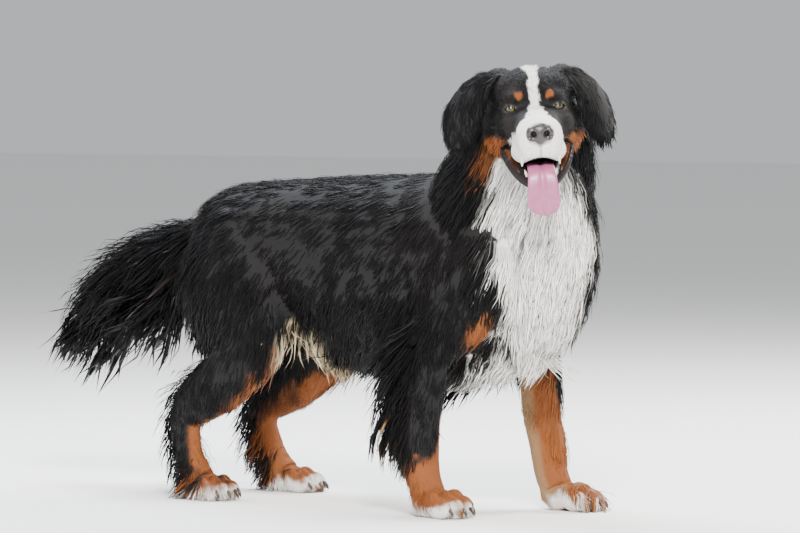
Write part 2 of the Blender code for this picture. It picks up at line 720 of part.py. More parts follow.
def paired_tracts(side, name):
    """The tracts that each side of the dog has."""
    out = (0, side, 0)
    return [
        tract(name + "_thigh", (-0.60, -0.3, 0.22), (-0.33, 0.3, 0.54), (-1, 0, -0.1), 0.044, 0.120, 0.022,
              (-0.30, 0, -0.95), 0.034, 0.7),
        tract(name + "_thigh", (-0.44, -0.3, 0.30), (-0.20, 0.3, 0.60), out, 0.110, 0.110, 0.029,
              (-0.45, 0, -0.89), 0.010),
        tract(name + "_shank", (-0.60, -0.3, 0.11), (-0.30, 0.3, 0.28), (-1, 0, 0), 0.040, 0.080, 0.016,
              (-0.42, 0, -0.90), 0.014, 0.8),
        tract(name + "_foreleg", (0.0, -0.3, 0.17), (0.26, 0.3, 0.42), (-1, 0, 0), 0.048, 0.175, 0.021,
              (-0.54, 0, -0.84), 0.02, 0.9),
        tract(name + "_foreleg", (0.10, -0.3, 0.36), (0.34, 0.3, 0.58), out, 0.100, 0.110, 0.029,
              (-0.40, 0, -0.92), 0.010),
    ]


for each_side, each_name in ((1, "left"), (-1, "right")):
    TRACTS += paired_tracts(each_side, each_name)
DROOP = 0.10
LOCK_HALF_THICK = 0.0042
LONG_LOCK = 0.18


def surface_tree(*meshes):
    bm = bmesh.new()
    for mesh in meshes:
        bm.from_mesh(mesh)
    tree = BVHTree.FromBMesh(bm)
    bm.free()
    return tree


def lock_roots(mesh, area, chance):
    """Points spread evenly over the tract's part of the mesh, each with its normal."""
    mesh.calc_loop_triangles()
    corners = [[mesh.vertices[i].co for i in tri.vertices] for tri in mesh.loop_triangles]
    sizes = [tri.area for tri in mesh.loop_triangles]
    roots = []
    for _ in range(4000):
        a, b, c = chance.choices(corners, sizes)[0]
        u, v = sorted((chance.random(), chance.random()))
        point = a * u + b * (v - u) + c * (1 - v)
        normal = (b - a).cross(c - a).normalized()
        inside = all(low < x < high for low, x, high in zip(area["low"], point, area["high"]))
        if not inside or normal.dot(area["facing"]) < 0.35:
            continue
        if all((point - other).length > area["spacing"] for other, _ in roots):
            roots.append((point, normal))
    return roots


def lock_path(root, normal, area, length, lift, lean, skin):
    """The lock's middle line: out of the skin, then along its lie above the skin, to the tip."""
    path = [root - normal * area["sink"]]
    steps = 4 if area["length"] > LONG_LOCK else 3
    point, lie = root.copy(), (area["lie"] + lean).normalized()
    for step in range(1, steps + 1):
        lie = (lie - Vector((0, 0, DROOP * area["hang"]))).normalized()
        along = lie - (1 - area["hang"]) * lie.dot(normal) * normal
        point = point + along.normalized() * length / steps
        near, normal, _, _ = skin.find_nearest(point)
        height = (point - near).dot(normal)
        wanted = 0.005 + lift * step / steps
        if height < wanted or area["hang"] == 0:
            point = near + normal * wanted
        path.append(point.copy())
    return path


def blade(path, half_width, across):
    """A flat, tapered lock: four-sided rings along its middle line, closed to a point at the tip."""
    bm = bmesh.new()
    rings = []
    for k in range(len(path) - 1):
        t = k / (len(path) - 1)
        wide, thick = 0.7 + 1.4 * t - 2.0 * t * t, 1 - 0.6 * t * t
        along = (path[k + 1] - path[max(k - 1, 0)]).normalized()
        side = (across - across.dot(along) * along).normalized() * half_width * wide
        out = along.cross(side).normalized() * LOCK_HALF_THICK * thick
        ring = [path[k] + side, path[k] + out, path[k] - side, path[k] - out]
        rings.append([bm.verts.new(point) for point in ring])
    tip = bm.verts.new(path[-1])
    for low, high in zip(rings, rings[1:]):
        for k in range(4):
            after = (k + 1) % 4
            bm.faces.new((low[k], low[after], high[k]))
            bm.faces.new((low[after], high[after], high[k]))
    for k in range(4):
        bm.faces.new((rings[-1][k], rings[-1][(k + 1) % 4], tip))
    bm.faces.new(rings[0][::-1])
    bmesh.ops.recalc_face_normals(bm, faces=bm.faces)
    mesh = bpy.data.meshes.new("lock")
    bm.to_mesh(mesh)
    bm.free()
    return mesh


def fitted_lock(root, normal, area, chance, skin, others):
    """One lock, raised and shortened until it is clear of the other nodes. None where it never is."""
    length = area["length"] * chance.uniform(0.80, 1.15)
    half_width = area["half_width"] * chance.uniform(0.85, 1.15)
    lean = Vector((chance.gauss(0, 0.07), chance.gauss(0, 0.07), chance.gauss(0, 0.05)))
    lift = area["lift"] * chance.uniform(0.8, 1.2)
    for _ in range(4):
        path = lock_path(root, normal, area, length, lift, lean, skin)
        across = area["lie"].cross(normal)
        if across.length < 0.1:
            across = Vector((0, 1, 0))
        mesh = blade(path, half_width, across)
        swollen = blade(path, half_width + 3 * GAP, across)
        for vertex, normal_there in zip(swollen.vertices, [v.normal.copy() for v in swollen.vertices]):
            vertex.co += normal_there * 2 * GAP
        tree = surface_tree(swollen)
        bpy.data.meshes.remove(swollen)
        low_point = min(point.z for point in path)
        if low_point > 0.02 and not any(tree.overlap(other) for other in others):
            return mesh
        bpy.data.meshes.remove(mesh)
        lift, length = lift * 1.4 + 0.003, length * 0.9
    return None


def grow_locks(nodes):
    """Grows every tract's locks and fuses them with their nodes."""
    chance = random.Random(5)
    skin = surface_tree(*[node.data for name, node in nodes.items()
                          if name not in ("tongue", "left_eye", "right_eye", "nose")])
    bodies = {name: [node.data] for name, node in nodes.items()}
    grown_locks = {name: [] for name in nodes}
    for area in TRACTS:
        name = area["node"]
        others = [surface_tree(*meshes) for other, meshes in bodies.items() if other != name]
        for root, normal in lock_roots(nodes[name].data, area, chance):
            mesh = fitted_lock(root, normal, area, chance, skin, others)
            if mesh:
                bodies[name].append(mesh)
                grown_locks[name].append(mesh)
    for name, meshes in grown_locks.items():
        if meshes:
            fuse_locks(nodes[name], meshes)


def touching_points(mesh):
    """Where the surface meets itself along an edge."""
    bm = bmesh.new()
    bm.from_mesh(mesh)
    bmesh.ops.remove_doubles(bm, verts=bm.verts, dist=2e-6)
    points = [(edge.verts[0].co + edge.verts[1].co) / 2 for edge in bm.edges if len(edge.link_faces) != 2]
    bm.free()
    return points


def fuse_locks(node, meshes):
    """One union of the node with its locks. A lock that would leave the surface touching itself is left out."""
    plain = node.data.copy()
    for _ in range(8):
        locks = bpy.data.collections.new("locks")
        objects = [bpy.data.objects.new("lock", mesh.copy()) for mesh in meshes]
        for obj in objects:
            locks.objects.link(obj)
        step = node.modifiers.new("Locks", "BOOLEAN")
        step.operation = "UNION"
        step.operand_type = "COLLECTION"
        step.collection = locks
        step.solver = "EXACT"
        applied(node)
        discard(*objects)
        bpy.data.collections.remove(locks)
        largest(node)
        faults = touching_points(node.data)
        if not faults:
            break
        spoilt = min(meshes, key=lambda mesh: min((v.co - faults[0]).length for v in mesh.vertices))
        meshes.remove(spoilt)
        node.data = plain.copy()
    for mesh in meshes:
        bpy.data.meshes.remove(mesh)
    bpy.data.meshes.remove(plain)


def material(name, colour, roughness):
    made = bpy.data.materials.new(name)
    made.use_nodes = True
    shader = made.node_tree.nodes["Principled BSDF"]
    shader.inputs["Base Color"].default_value = (*colour, 1)
    shader.inputs["Roughness"].default_value = roughness
    shader.inputs["Metallic"].default_value = 0.0
    return made


def colour_nodes(nodes):
    """Gives every node its own coat, horn, wet or glassy finish."""
    black_coat = material("black_coat", (0.012, 0.011, 0.012), 0.75)
    rust_coat = material("rust_coat", (0.33, 0.125, 0.035), 0.8)
    leather = material("nose_leather", (0.035, 0.027, 0.027), 0.4)
    flesh = material("tongue_flesh", (0.55, 0.27, 0.33), 0.35)
    amber = material("amber_eye", (0.16, 0.075, 0.02), 0.1)
    finishes = {"nose": leather, "tongue": flesh, "left_eye": amber, "right_eye": amber}
    for name, node in nodes.items():
        coat = rust_coat if "paw" in name else black_coat
        node.data.materials.clear()
        node.data.materials.append(finishes.get(name, coat))
        node.data.shade_smooth()
        node.data.set_sharp_from_angle(angle=math.radians(40))


def centred(nodes):
    """Puts the origin at the bottom centre of the whole dog's box."""
    low = Vector((1e9,) * 3)
    high = -low
    for node in nodes.values():
        for vertex in node.data.vertices:
            low = Vector(map(min, low, vertex.co))
            high = Vector(map(max, high, vertex.co))
    middle = (low + high) / 2
    shift = Matrix.Translation((-middle.x, -middle.y, -low.z))
    for node in nodes.values():
        node.data.transform(shift)


def build():
    """All the nodes of the dog, by name."""
    nodes = split_body()
    nodes.update({name: paw_node(name) for name in PAWS})
    plain_head = thinned(head_form(), BUDGET["head"])
    plain_head.name = "plain_head"
    plain_head.data.transform(HEAD)
    nodes.update(head_nodes())
    clear_of(nodes["neck"], plain_head, nodes["jaw"], nodes["left_ear"], nodes["right_ear"])
    discard(plain_head)
    grow_locks(nodes)
    colour_nodes(nodes)
    centred(nodes)
    for name, node in nodes.items():
        node.name = name
    return nodes


if __name__ == "__main__":
    build()
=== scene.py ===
# %% [markdown]
# # A Bernese mountain dog, in fur
# This lesson dresses a plain solid model of a large dog. The solids are loaded first and never move:
# every skin, lock, eye and claw below is made in the same metres, around the same places.
# The dog stands on z = 0, its body runs along X, and its own left is +Y.

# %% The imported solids
import math
import random
from functools import partial

import bmesh
import bpy
import numpy as np
from mathutils import Matrix, Vector
from mathutils.bvhtree import BVHTree


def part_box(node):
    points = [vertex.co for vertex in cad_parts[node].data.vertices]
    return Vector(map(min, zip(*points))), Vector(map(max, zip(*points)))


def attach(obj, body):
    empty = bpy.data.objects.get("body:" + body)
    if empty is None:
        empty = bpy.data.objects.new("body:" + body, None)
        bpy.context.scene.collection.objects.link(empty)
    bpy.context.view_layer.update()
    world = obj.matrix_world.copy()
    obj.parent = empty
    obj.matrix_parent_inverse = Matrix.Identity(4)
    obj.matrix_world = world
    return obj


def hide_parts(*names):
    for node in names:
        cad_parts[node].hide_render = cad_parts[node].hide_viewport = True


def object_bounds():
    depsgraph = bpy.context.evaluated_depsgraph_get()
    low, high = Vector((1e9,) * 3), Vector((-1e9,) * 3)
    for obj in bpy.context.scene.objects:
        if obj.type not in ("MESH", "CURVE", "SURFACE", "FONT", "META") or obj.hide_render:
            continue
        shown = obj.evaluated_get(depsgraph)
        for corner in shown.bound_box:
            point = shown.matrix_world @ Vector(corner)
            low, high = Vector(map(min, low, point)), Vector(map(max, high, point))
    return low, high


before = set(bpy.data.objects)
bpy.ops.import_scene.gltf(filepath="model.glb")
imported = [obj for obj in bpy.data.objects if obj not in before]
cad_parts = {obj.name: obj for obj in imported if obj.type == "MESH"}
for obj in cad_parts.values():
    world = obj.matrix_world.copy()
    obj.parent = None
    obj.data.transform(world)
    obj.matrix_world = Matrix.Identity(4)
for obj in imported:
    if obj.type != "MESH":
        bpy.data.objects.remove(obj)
bpy.context.view_layer.update()
cad_box = [list(corner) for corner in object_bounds()]
print("the solids reach from", cad_box[0], "to", cad_box[1])

# %% [markdown]
# The sizes below are given in the dog's own drawing frame, whose origin lies on the ground between the
# legs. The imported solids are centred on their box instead. One eye is known in both frames, so the
# difference between its two places is the shift from the drawing to the solids.

# %% Where the drawing lies in the solids' frame
HEAD_AT = Vector((0.424, -0.130, 0.773))
HEAD_YAW, HEAD_PITCH, HEAD_ROLL = math.radians(-50), math.radians(4), math.radians(4)
HEAD = (Matrix.Translation(HEAD_AT) @ Matrix.Rotation(HEAD_YAW, 4, "Z")
        @ Matrix.Rotation(HEAD_PITCH, 4, "Y") @ Matrix.Rotation(HEAD_ROLL, 4, "X"))
EYE_SPAN = 0.043
EYE_RADIUS = 0.0115
EYE_BACK = -0.008
EYE_TURN = math.radians(16)


def eye_place(side):
    """The eye's frame in the head's, x out of the eye. side is 1 on the dog's left, -1 on its right."""
    return Matrix.Translation((EYE_BACK, side * EYE_SPAN, 0)) @ Matrix.Rotation(side * EYE_TURN, 4, "Z")


low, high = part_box("left_eye")
SHIFT = (low + high) / 2 - HEAD @ eye_place(1).to_translation()
TO_SOLIDS = Matrix.Translation(SHIFT)
print("the drawing is shifted by", [round(x, 4) for x in SHIFT])

# %% [markdown]
# The camera stands where the photo was taken from: 38 degrees round from the dog's right side towards
# its front, a little above its back, with a long lens. The picture's sky line and the dog's place in the
# frame fix how far it looks down and to the side.

# %% The camera
PHOTO_WIDTH, PHOTO_HEIGHT = 800, 533
CAMERA_AZIMUTH = math.radians(38.0)
CAMERA_DISTANCE = 8.5
CAMERA_HEIGHT = 0.824
FOCAL_PIXELS = 4404.0
HORIZON_PIXEL = 80.0
DOG_PIXEL = 397.0
SENSOR = 36.0


def add_camera():
    camera = bpy.data.objects.new("camera", bpy.data.cameras.new("camera"))
    bpy.context.scene.collection.objects.link(camera)
    camera.data.sensor_width = SENSOR
    camera.data.lens = FOCAL_PIXELS / PHOTO_WIDTH * SENSOR
    ahead = Vector((-math.sin(CAMERA_AZIMUTH), math.cos(CAMERA_AZIMUTH), 0))
    right = Vector((math.cos(CAMERA_AZIMUTH), math.sin(CAMERA_AZIMUTH), 0))
    pitch = math.atan((PHOTO_HEIGHT / 2 - HORIZON_PIXEL) / FOCAL_PIXELS)
    yaw = (DOG_PIXEL - PHOTO_WIDTH / 2) / FOCAL_PIXELS
    look = ahead * math.cos(pitch) - Vector((0, 0, 1)) * math.sin(pitch) - right * yaw
    camera.location = SHIFT - ahead * CAMERA_DISTANCE + Vector((0, 0, CAMERA_HEIGHT))
    camera.rotation_euler = look.to_track_quat("-Z", "Y").to_euler()
    bpy.context.scene.camera = camera


add_camera()

# %% [markdown]
# A black coat shows its form only in its gloss, so the light is soft and comes from several sides: a
# broad key from the front right, a weaker fill, and a cool sheet of light above and behind that draws
# the back and the head off the background. The floor is plain and pale.

# %% Floor and lights
FLOOR_SIZE, FLOOR_COLOUR = 60.0, (0.90, 0.90, 0.89, 1)


def new_finish(name, **values):
    """A material with its Principled shader's own sockets set."""
    made = bpy.data.materials.new(name)
    made.use_nodes = True
    shader = made.node_tree.nodes["Principled BSDF"]
    for key, value in values.items():
        shader.inputs[key.replace("_", " ")].default_value = value
    return made, made.node_tree, shader


def mesh_of(bm, name):
    """The plain mesh of a bmesh, which is then used up."""
    mesh = bpy.data.meshes.new(name)
    bm.to_mesh(mesh)
    bm.free()
    return mesh


def add_floor():
    bm = bmesh.new()
    bmesh.ops.create_grid(bm, x_segments=1, y_segments=1, size=FLOOR_SIZE / 2)
    mesh = mesh_of(bm, "floor")
    mesh.materials.append(new_finish("pale_floor", Base_Color=FLOOR_COLOUR, Roughness=0.9)[0])
    floor = bpy.data.objects.new("floor", mesh)
    bpy.context.scene.collection.objects.link(floor)


def add_light(name, place, aim, size, power, colour):
    lamp = bpy.data.lights.new(name, "AREA")
    lamp.shape = "DISK"
    lamp.size = size
    lamp.energy = power
    lamp.color = colour
    light = bpy.data.objects.new(name, lamp)
    light.location = place
    light.rotation_euler = (Vector(aim) - Vector(place)).to_track_quat("-Z", "Y").to_euler()
    bpy.context.scene.collection.objects.link(light)


add_floor()
CHEST, RUMP = (0.2, 0.0, 0.5), (-0.2, 0.0, 0.5)
# name, place, aim, size, power, colour
for lamp in (("key", (3.2, -3.4, 3.6), CHEST, 1.4, 700, (1.0, 0.97, 0.93)),
             ("fill", (-2.6, -3.6, 1.6), CHEST, 3.0, 80, (0.93, 0.96, 1.0)),
             ("back", (1.6, 3.6, 3.2), CHEST, 2.2, 420, (1.0, 0.97, 0.92)),
             ("top", (-1.2, 0.6, 3.6), RUMP, 2.4, 330, (0.86, 0.92, 1.0))):
    add_light(*lamp)
world = bpy.data.worlds.new("studio")
world.use_nodes = True
sky = world.node_tree.nodes["Background"].inputs
sky["Color"].default_value = (0.86, 0.88, 0.90, 1)
sky["Strength"].default_value = 0.66
bpy.context.scene.world = world

# %% [markdown]
# Every soft form starts as a few overlapping closed bodies, lofts and balls, which a voxel remesh melts
# into one skin. These are the few tools for that: a smooth curve through rows of numbers, a loft, an
# ellipsoid, the melting itself, and a press that moves the surface near one point.

# %% Tools for soft forms
def add_object(name, mesh):
    obj = bpy.data.objects.new(name, mesh)
    bpy.context.scene.collection.objects.link(obj)
    return obj


def discard(*objects):
    for obj in objects:
        mesh = obj.data
        bpy.data.objects.remove(obj)
        if mesh.users == 0:
            bpy.data.meshes.remove(mesh)


def mesh_alone(obj):
    """The object's mesh, without the object."""
    mesh = obj.data.copy()
    discard(obj)
    return mesh


def applied(obj):
    """The object with its modifiers made real."""
    bpy.context.view_layer.update()
    graph = bpy.context.evaluated_depsgraph_get()
    mesh = bpy.data.meshes.new_from_object(obj.evaluated_get(graph))
    obj.modifiers.clear()
    old, obj.data = obj.data, mesh
    if old.users == 0:
        bpy.data.meshes.remove(old)
    return obj


def between(stations, per_span):
    """Catmull-Rom rows through the stations' numbers."""
    rows = np.array(stations, float)
    padded = np.vstack([2 * rows[0] - rows[1], rows, 2 * rows[-1] - rows[-2]])
    out = []
    for i in range(len(rows) - 1):
        p0, p1, p2, p3 = padded[i:i + 4]
        for t in np.arange(per_span) / per_span:
            out.append(0.5 * (2 * p1 + (p2 - p0) * t + (2 * p0 - 5 * p1 + 4 * p2 - p3) * t * t
                              + (3 * p1 - p0 - 3 * p2 + p3) * t ** 3))
    out.append(rows[-1])
    return np.array(out)


def bridge(bm, rings, spans):
    """Faces between each ring of points and the next; a ring with as many points as spans is closed."""
    for below, above in zip(rings, rings[1:]):
        for k in range(spans):
            other = (k + 1) % len(below)
            bm.faces.new((below[k], below[other], above[other], above[k]))


def loft(stations, sides=20, per_span=4, across=(0, 1, 0), power=2.0, egg=0.0):
    """A closed body through stations (x, y, z, half size across, half size the other way)."""
    rows = between(stations, per_span)
    centres = rows[:, :3]
    sizes = np.maximum(rows[:, 3:5], 0.0001)
    tangents = np.gradient(centres, axis=0)
    bm = bmesh.new()
    rings = []
    for centre, (half_a, half_b), tangent in zip(centres, sizes, tangents):
        along = Vector(tangent).normalized()
        side = Vector(across)
        side = (side - side.dot(along) * along).normalized()
        other = along.cross(side)
        ring = []
        for k in range(sides):
            angle = math.tau * k / sides
            c, s = math.cos(angle), math.sin(angle)
            a = math.copysign(abs(c) ** (2 / power), c) * half_a * (1 - egg * s)
            b = math.copysign(abs(s) ** (2 / power), s) * half_b
            ring.append(bm.verts.new(Vector(centre) + side * a + other * b))
        rings.append(ring)
    bridge(bm, rings, sides)
    bm.faces.new(rings[0][::-1])
    bm.faces.new(rings[-1])
    bmesh.ops.recalc_face_normals(bm, faces=bm.faces)
    return mesh_of(bm, "loft")


def ball(centre, sizes, turn=None, segments=24, rings=14):
    """An ellipsoid of these half sizes."""
    bm = bmesh.new()
    bmesh.ops.create_uvsphere(bm, u_segments=segments, v_segments=rings, radius=1)
    bm.transform(Matrix.Translation(centre) @ (turn or Matrix.Identity(4)) @ Matrix.Diagonal((*sizes, 1)))
    return mesh_of(bm, "ball")


def joined(name, meshes):
    """One object with all these meshes, which are then used up."""
    bm = bmesh.new()
    for mesh in meshes:
        bm.from_mesh(mesh)
        bpy.data.meshes.remove(mesh)
    return add_object(name, mesh_of(bm, name))


def fused(name, meshes, voxel, smooth):
    """One skin over all these overlapping bodies, its creases smoothed."""
    obj = joined(name, meshes)
    remesh = obj.modifiers.new("Remesh", "REMESH")
    remesh.mode = "VOXEL"
    remesh.voxel_size = voxel
    obj.modifiers.new("Smooth", "SMOOTH").iterations = smooth
    return applied(obj)


def numbers_of(data, key, width):
    """One row of numbers for each item of a mesh's data."""
    numbers = np.empty(len(data) * width, np.float32)
    data.foreach_get(key, numbers)
    return numbers.reshape(-1, width)


def points_of(mesh):
    return numbers_of(mesh.vertices, "co", 3).astype(float)


def normals_of(mesh):
    return numbers_of(mesh.vertex_normals, "vector", 3).astype(float)


def move_points(mesh, points):
    mesh.vertices.foreach_set("co", points.astype(np.float32).ravel())
    mesh.update()


def press(obj, centre, radius, move):
    """Moves the surface near centre by move, fading with distance over radius."""
    points = points_of(obj.data)
    near = np.exp(-((points - np.array(centre)) ** 2).sum(1) / radius ** 2)
    move_points(obj.data, points + near[:, None] * np.array(move))


def cut(obj, tools):
    """Cuts each tool out of obj. A tool is a mesh that is then used up."""
    objects = [add_object("tool", tool) for tool in tools]
    for tool in objects:
        step = obj.modifiers.new("Cut", "BOOLEAN")
        step.operation = "DIFFERENCE"
        step.object = tool
        step.solver = "EXACT"
    applied(obj)
    discard(*objects)
    return obj


def soft(value, width):
    """0 well below zero and 1 well above it, smooth over width."""
    t = np.clip(0.5 + value / (2 * width), 0, 1)
    return t * t * (3 - 2 * t)


# %% [markdown]
# The body's skin repeats the solids' tables: trunk, neck, throat, tail, four legs and four paws, each a
# short list of stations with its middle line and half sizes. The solids stop half way into the coat, so
# the skin is then moved in by a depth that is large on the trunk and small on the lower legs.

# %% Tables of the body
CHEST_HALF_WIDTH = 0.151
STANCE_HALF_WIDTH = 0.122
BONE = 0.036
W = CHEST_HALF_WIDTH
TRUNK = [
    (-0.474, 0, 0.490, 0.030, 0.040),
    (-0.460, 0, 0.488, 0.50 * W, 0.085),
    (-0.410, 0, 0.486, 0.78 * W, 0.122),
    (-0.315, 0, 0.484, 0.88 * W, 0.140),
    (-0.190, 0, 0.474, 0.89 * W, 0.158),
    (-0.050, 0, 0.460, 0.95 * W, 0.180),
    (0.080, 0, 0.450, 1.00 * W, 0.193),
    (0.170, 0, 0.452, 1.00 * W, 0.197),
    (0.255, 0, 0.455, 0.94 * W, 0.183),
    (0.325, 0, 0.455, 0.78 * W, 0.150),
    (0.375, 0, 0.450, 0.52 * W, 0.102),
    (0.395, 0, 0.447, 0.030, 0.040),
]
NECK = [
    (0.150, 0.000, 0.500, 0.125, 0.120),
    (0.245, 0.000, 0.565, 0.138, 0.146),
    (0.308, -0.006, 0.650, 0.130, 0.138),
    (0.340, -0.024, 0.725, 0.112, 0.118),
    (0.352, -0.040, 0.785, 0.084, 0.088),
]
THROAT = [
    (0.320, 0.000, 0.320, 0.060, 0.040),
    (0.360, 0.000, 0.400, 0.092, 0.062),
    (0.384, -0.008, 0.490, 0.106, 0.070),
    (0.388, -0.026, 0.590, 0.104, 0.074),
    (0.384, -0.058, 0.660, 0.084, 0.068),
    (0.382, -0.080, 0.705, 0.060, 0.050),
]
TAIL = [
    (-0.410, 0.000, 0.520, 0.040, 0.040),
    (-0.500, 0.000, 0.505, 0.035, 0.036),
    (-0.590, 0.000, 0.486, 0.031, 0.032),
    (-0.675, 0.000, 0.456, 0.027, 0.030),
    (-0.755, 0.000, 0.408, 0.021, 0.025),
    (-0.808, 0.000, 0.350, 0.010, 0.013),
]


def foreleg(side, elbow_x, wrist_x, wrist_y):
    """One front leg, shoulder to pastern."""
    y = side * STANCE_HALF_WIDTH
    return [
        (0.215, side * 0.075, 0.600, 0.036, 0.050),
        (0.262, side * 0.098, 0.520, 0.048, 0.070),
        (0.285, side * 0.108, 0.450, 0.054, 0.078),
        (0.245, side * 0.112, 0.385, 0.052, 0.072),
        (elbow_x + 0.015, y, 0.320, 0.049, 0.058),
        (0.6 * elbow_x + 0.4 * wrist_x + 0.008, 0.6 * y + 0.4 * wrist_y, 0.250, 0.043, 0.046),
        (0.3 * elbow_x + 0.7 * wrist_x, 0.3 * y + 0.7 * wrist_y, 0.180, 1.06 * BONE, 1.12 * BONE),
        (wrist_x, wrist_y, 0.120, 1.05 * BONE, 1.08 * BONE),
        (wrist_x + 0.008, wrist_y, 0.070, 1.0 * BONE, 0.98 * BONE),
        (wrist_x + 0.024, wrist_y, 0.036, 1.0 * BONE, 0.95 * BONE),
    ]


def hindleg(side, knee, hock, foot):
    """One hind leg. knee and hock are (x, z), foot is x, and y comes from the stance."""
    y = side * (STANCE_HALF_WIDTH - 0.008)
    return [
        (-0.330, side * 0.070, 0.560, 0.045, 0.070),
        (-0.330, side * 0.085, 0.490, 0.062, 0.120),
        (-0.320, side * 0.098, 0.420, 0.066, 0.130),
        (0.5 * (knee[0] - 0.305) - 0.024, side * 0.106, 0.355, 0.058, 0.110),
        (knee[0] - 0.050, y, knee[1] - 0.015, 0.048, 0.070),
        (0.5 * (knee[0] - 0.02 + hock[0]), y, 0.5 * (knee[1] + hock[1]) - 0.012, 0.040, 0.064),
        (hock[0] + 0.038, y, hock[1] + 0.020, 0.031, 0.054),
        (hock[0] + 0.010, y, hock[1] - 0.022, 0.027, 0.037),
        (0.5 * (hock[0] + foot) - 0.004, y, 0.095, 0.027, 0.031),
        (foot - 0.014, y, 0.052, 0.031, 0.034),
        (foot + 0.010, y, 0.032, 0.033, 0.034),
    ]


LEFT_WRIST = (0.262, 0.136)
RIGHT_WRIST = (0.152, -0.122)
FORELEGS = [foreleg(1, 0.228, *LEFT_WRIST), foreleg(-1, 0.155, *RIGHT_WRIST)]
LEFT_FOOT, RIGHT_FOOT = -0.380, -0.404
HINDLEGS = [hindleg(1, (-0.186, 0.335), (-0.443, 0.170), LEFT_FOOT),
            hindleg(-1, (-0.205, 0.335), (-0.452, 0.170), RIGHT_FOOT)]
HIND_Y = STANCE_HALF_WIDTH - 0.008
# Each paw: where its heel stands (x, y), its heading, length, width and height
PAWS = {
    "left_forepaw": ((LEFT_WRIST[0] + 0.026, LEFT_WRIST[1]), 12, 0.105, 0.088, 0.058),
    "right_forepaw": ((RIGHT_WRIST[0] + 0.026, RIGHT_WRIST[1]), -4, 0.105, 0.088, 0.058),
    "left_hindpaw": ((LEFT_FOOT + 0.010, HIND_Y), 8, 0.098, 0.080, 0.054),
    "right_hindpaw": ((RIGHT_FOOT + 0.010, -HIND_Y), -8, 0.098, 0.080, 0.054),
}
TOES = ((0.45, -0.36), (0.60, -0.125), (0.60, 0.125), (0.45, 0.36))

# %% [markdown]
# Skin depth is the distance from the solids' surface in to the real skin. It is written as a function of
# place, so that the skin thins smoothly from the heavy coat of the neck to the short hair of the feet.

# %% The body's skin
BODY_VOXEL = 0.006
DEEP_COAT, BACK_COAT, THIN_COAT = 0.009, 0.000, 0.003
DEEP_FROM, THIN_BELOW = 0.36, 0.20


def sink(obj, depth):
    """Moves each point of the skin in along its normal. The depth is a number or a rule of place."""
    points, normals = points_of(obj.data), normals_of(obj.data)
    if callable(depth):
        depth = depth(points, normals)[:, None]
    move_points(obj.data, points - normals * depth)
    return obj


def coat_depth(points, normals):
    high_up = soft(points[:, 2] - (DEEP_FROM + THIN_BELOW) / 2, (DEEP_FROM - THIN_BELOW) / 2)
    tail = soft(-0.47 - points[:, 0], 0.03)
    depth = THIN_COAT + (DEEP_COAT - THIN_COAT) * high_up * (1 - 0.6 * tail)
    on_back = soft(normals[:, 2] - 0.45, 0.4) * soft(points[:, 2] - 0.52, 0.05)
    return depth + (BACK_COAT - depth) * on_back


def body_skin():
    """Trunk, neck, tail and legs under one skin."""
    meshes = [loft(TRUNK, 32, egg=-0.06), loft(NECK, 28), loft(THROAT, 24), loft(TAIL, 16)]
    meshes += [loft(rows, 20) for rows in FORELEGS + HINDLEGS]
    return sink(fused("skin_body", meshes, BODY_VOXEL, 8), coat_depth)


skin_body = body_skin()
print("skin_body has", len(skin_body.data.polygons), "faces")

# %% [markdown]
# A paw is a pad block with four arched toes. It is finer than the trunk, because short hair hides
# nothing there: each toe and the cleft beside it has to be in the skin itself.

# %% The paws' skin
PAW_VOXEL = 0.0026
PAW_DEPTH = 0.002
SOLE_GAP = 0.0006


def paw_frame(name):
    heel, heading = PAWS[name][:2]
    turn = Matrix.Rotation(math.radians(heading), 4, "Z")
    return Matrix.Translation((*heel, 0)) @ turn, turn


def paw_blocks(name):
    """The pad block under the pastern and the toes, each a ball and a knuckle."""
    _, _, length, width, height = PAWS[name]
    at, turn = paw_frame(name)
    half = 0.128 * width
    pastern = [(*(at @ Vector((back, 0, 0)))[:2], z, share * width, 0.9 * share * width)
               for back, z, share in ((-0.006, 0.02, 0.37), (-0.012, 0.048, 0.35), (-0.017, 0.070, 0.28),
                                      (-0.020, 0.088, 0.14))]
    blocks = [ball(at @ Vector((0.006, 0, 0.45 * height)), (0.038, 0.44 * width, 0.58 * height), turn),
              loft(pastern)]
    for reach, spread in TOES:
        toe_turn = turn @ Matrix.Rotation(0.35 * spread, 4, "Z")
        toe = at @ Vector((reach * length, spread * width, 0.36 * height))
        blocks.append(ball(toe, (0.29 * length, half, 0.40 * height), toe_turn))
        knuckle = at @ Vector((reach * length - 0.018, spread * width, 0.52 * height))
        blocks.append(ball(knuckle, (0.24 * length, half, 0.42 * height), toe_turn))
    return blocks


def paws_skin():
    blocks = [block for name in PAWS for block in paw_blocks(name)]
    paws = sink(fused("skin_paws", blocks, PAW_VOXEL, 5), PAW_DEPTH)
    points = points_of(paws.data)
    points[:, 2] = np.maximum(points[:, 2], SOLE_GAP)
    move_points(paws.data, points)
    return paws


skin_paws = paws_skin()
print("skin_paws has", len(skin_paws.data.polygons), "faces")

# %% [markdown]
# The head has its own frame: x to the nose, y to the dog's left, z up, from a point between the eyes.
# Skull, muzzle, brows, cheeks and hanging lips are balls and lofts, melted at four millimetres and pressed
# in at the stop, beside the muzzle and in front of each eye. The lids are then melted on more finely.

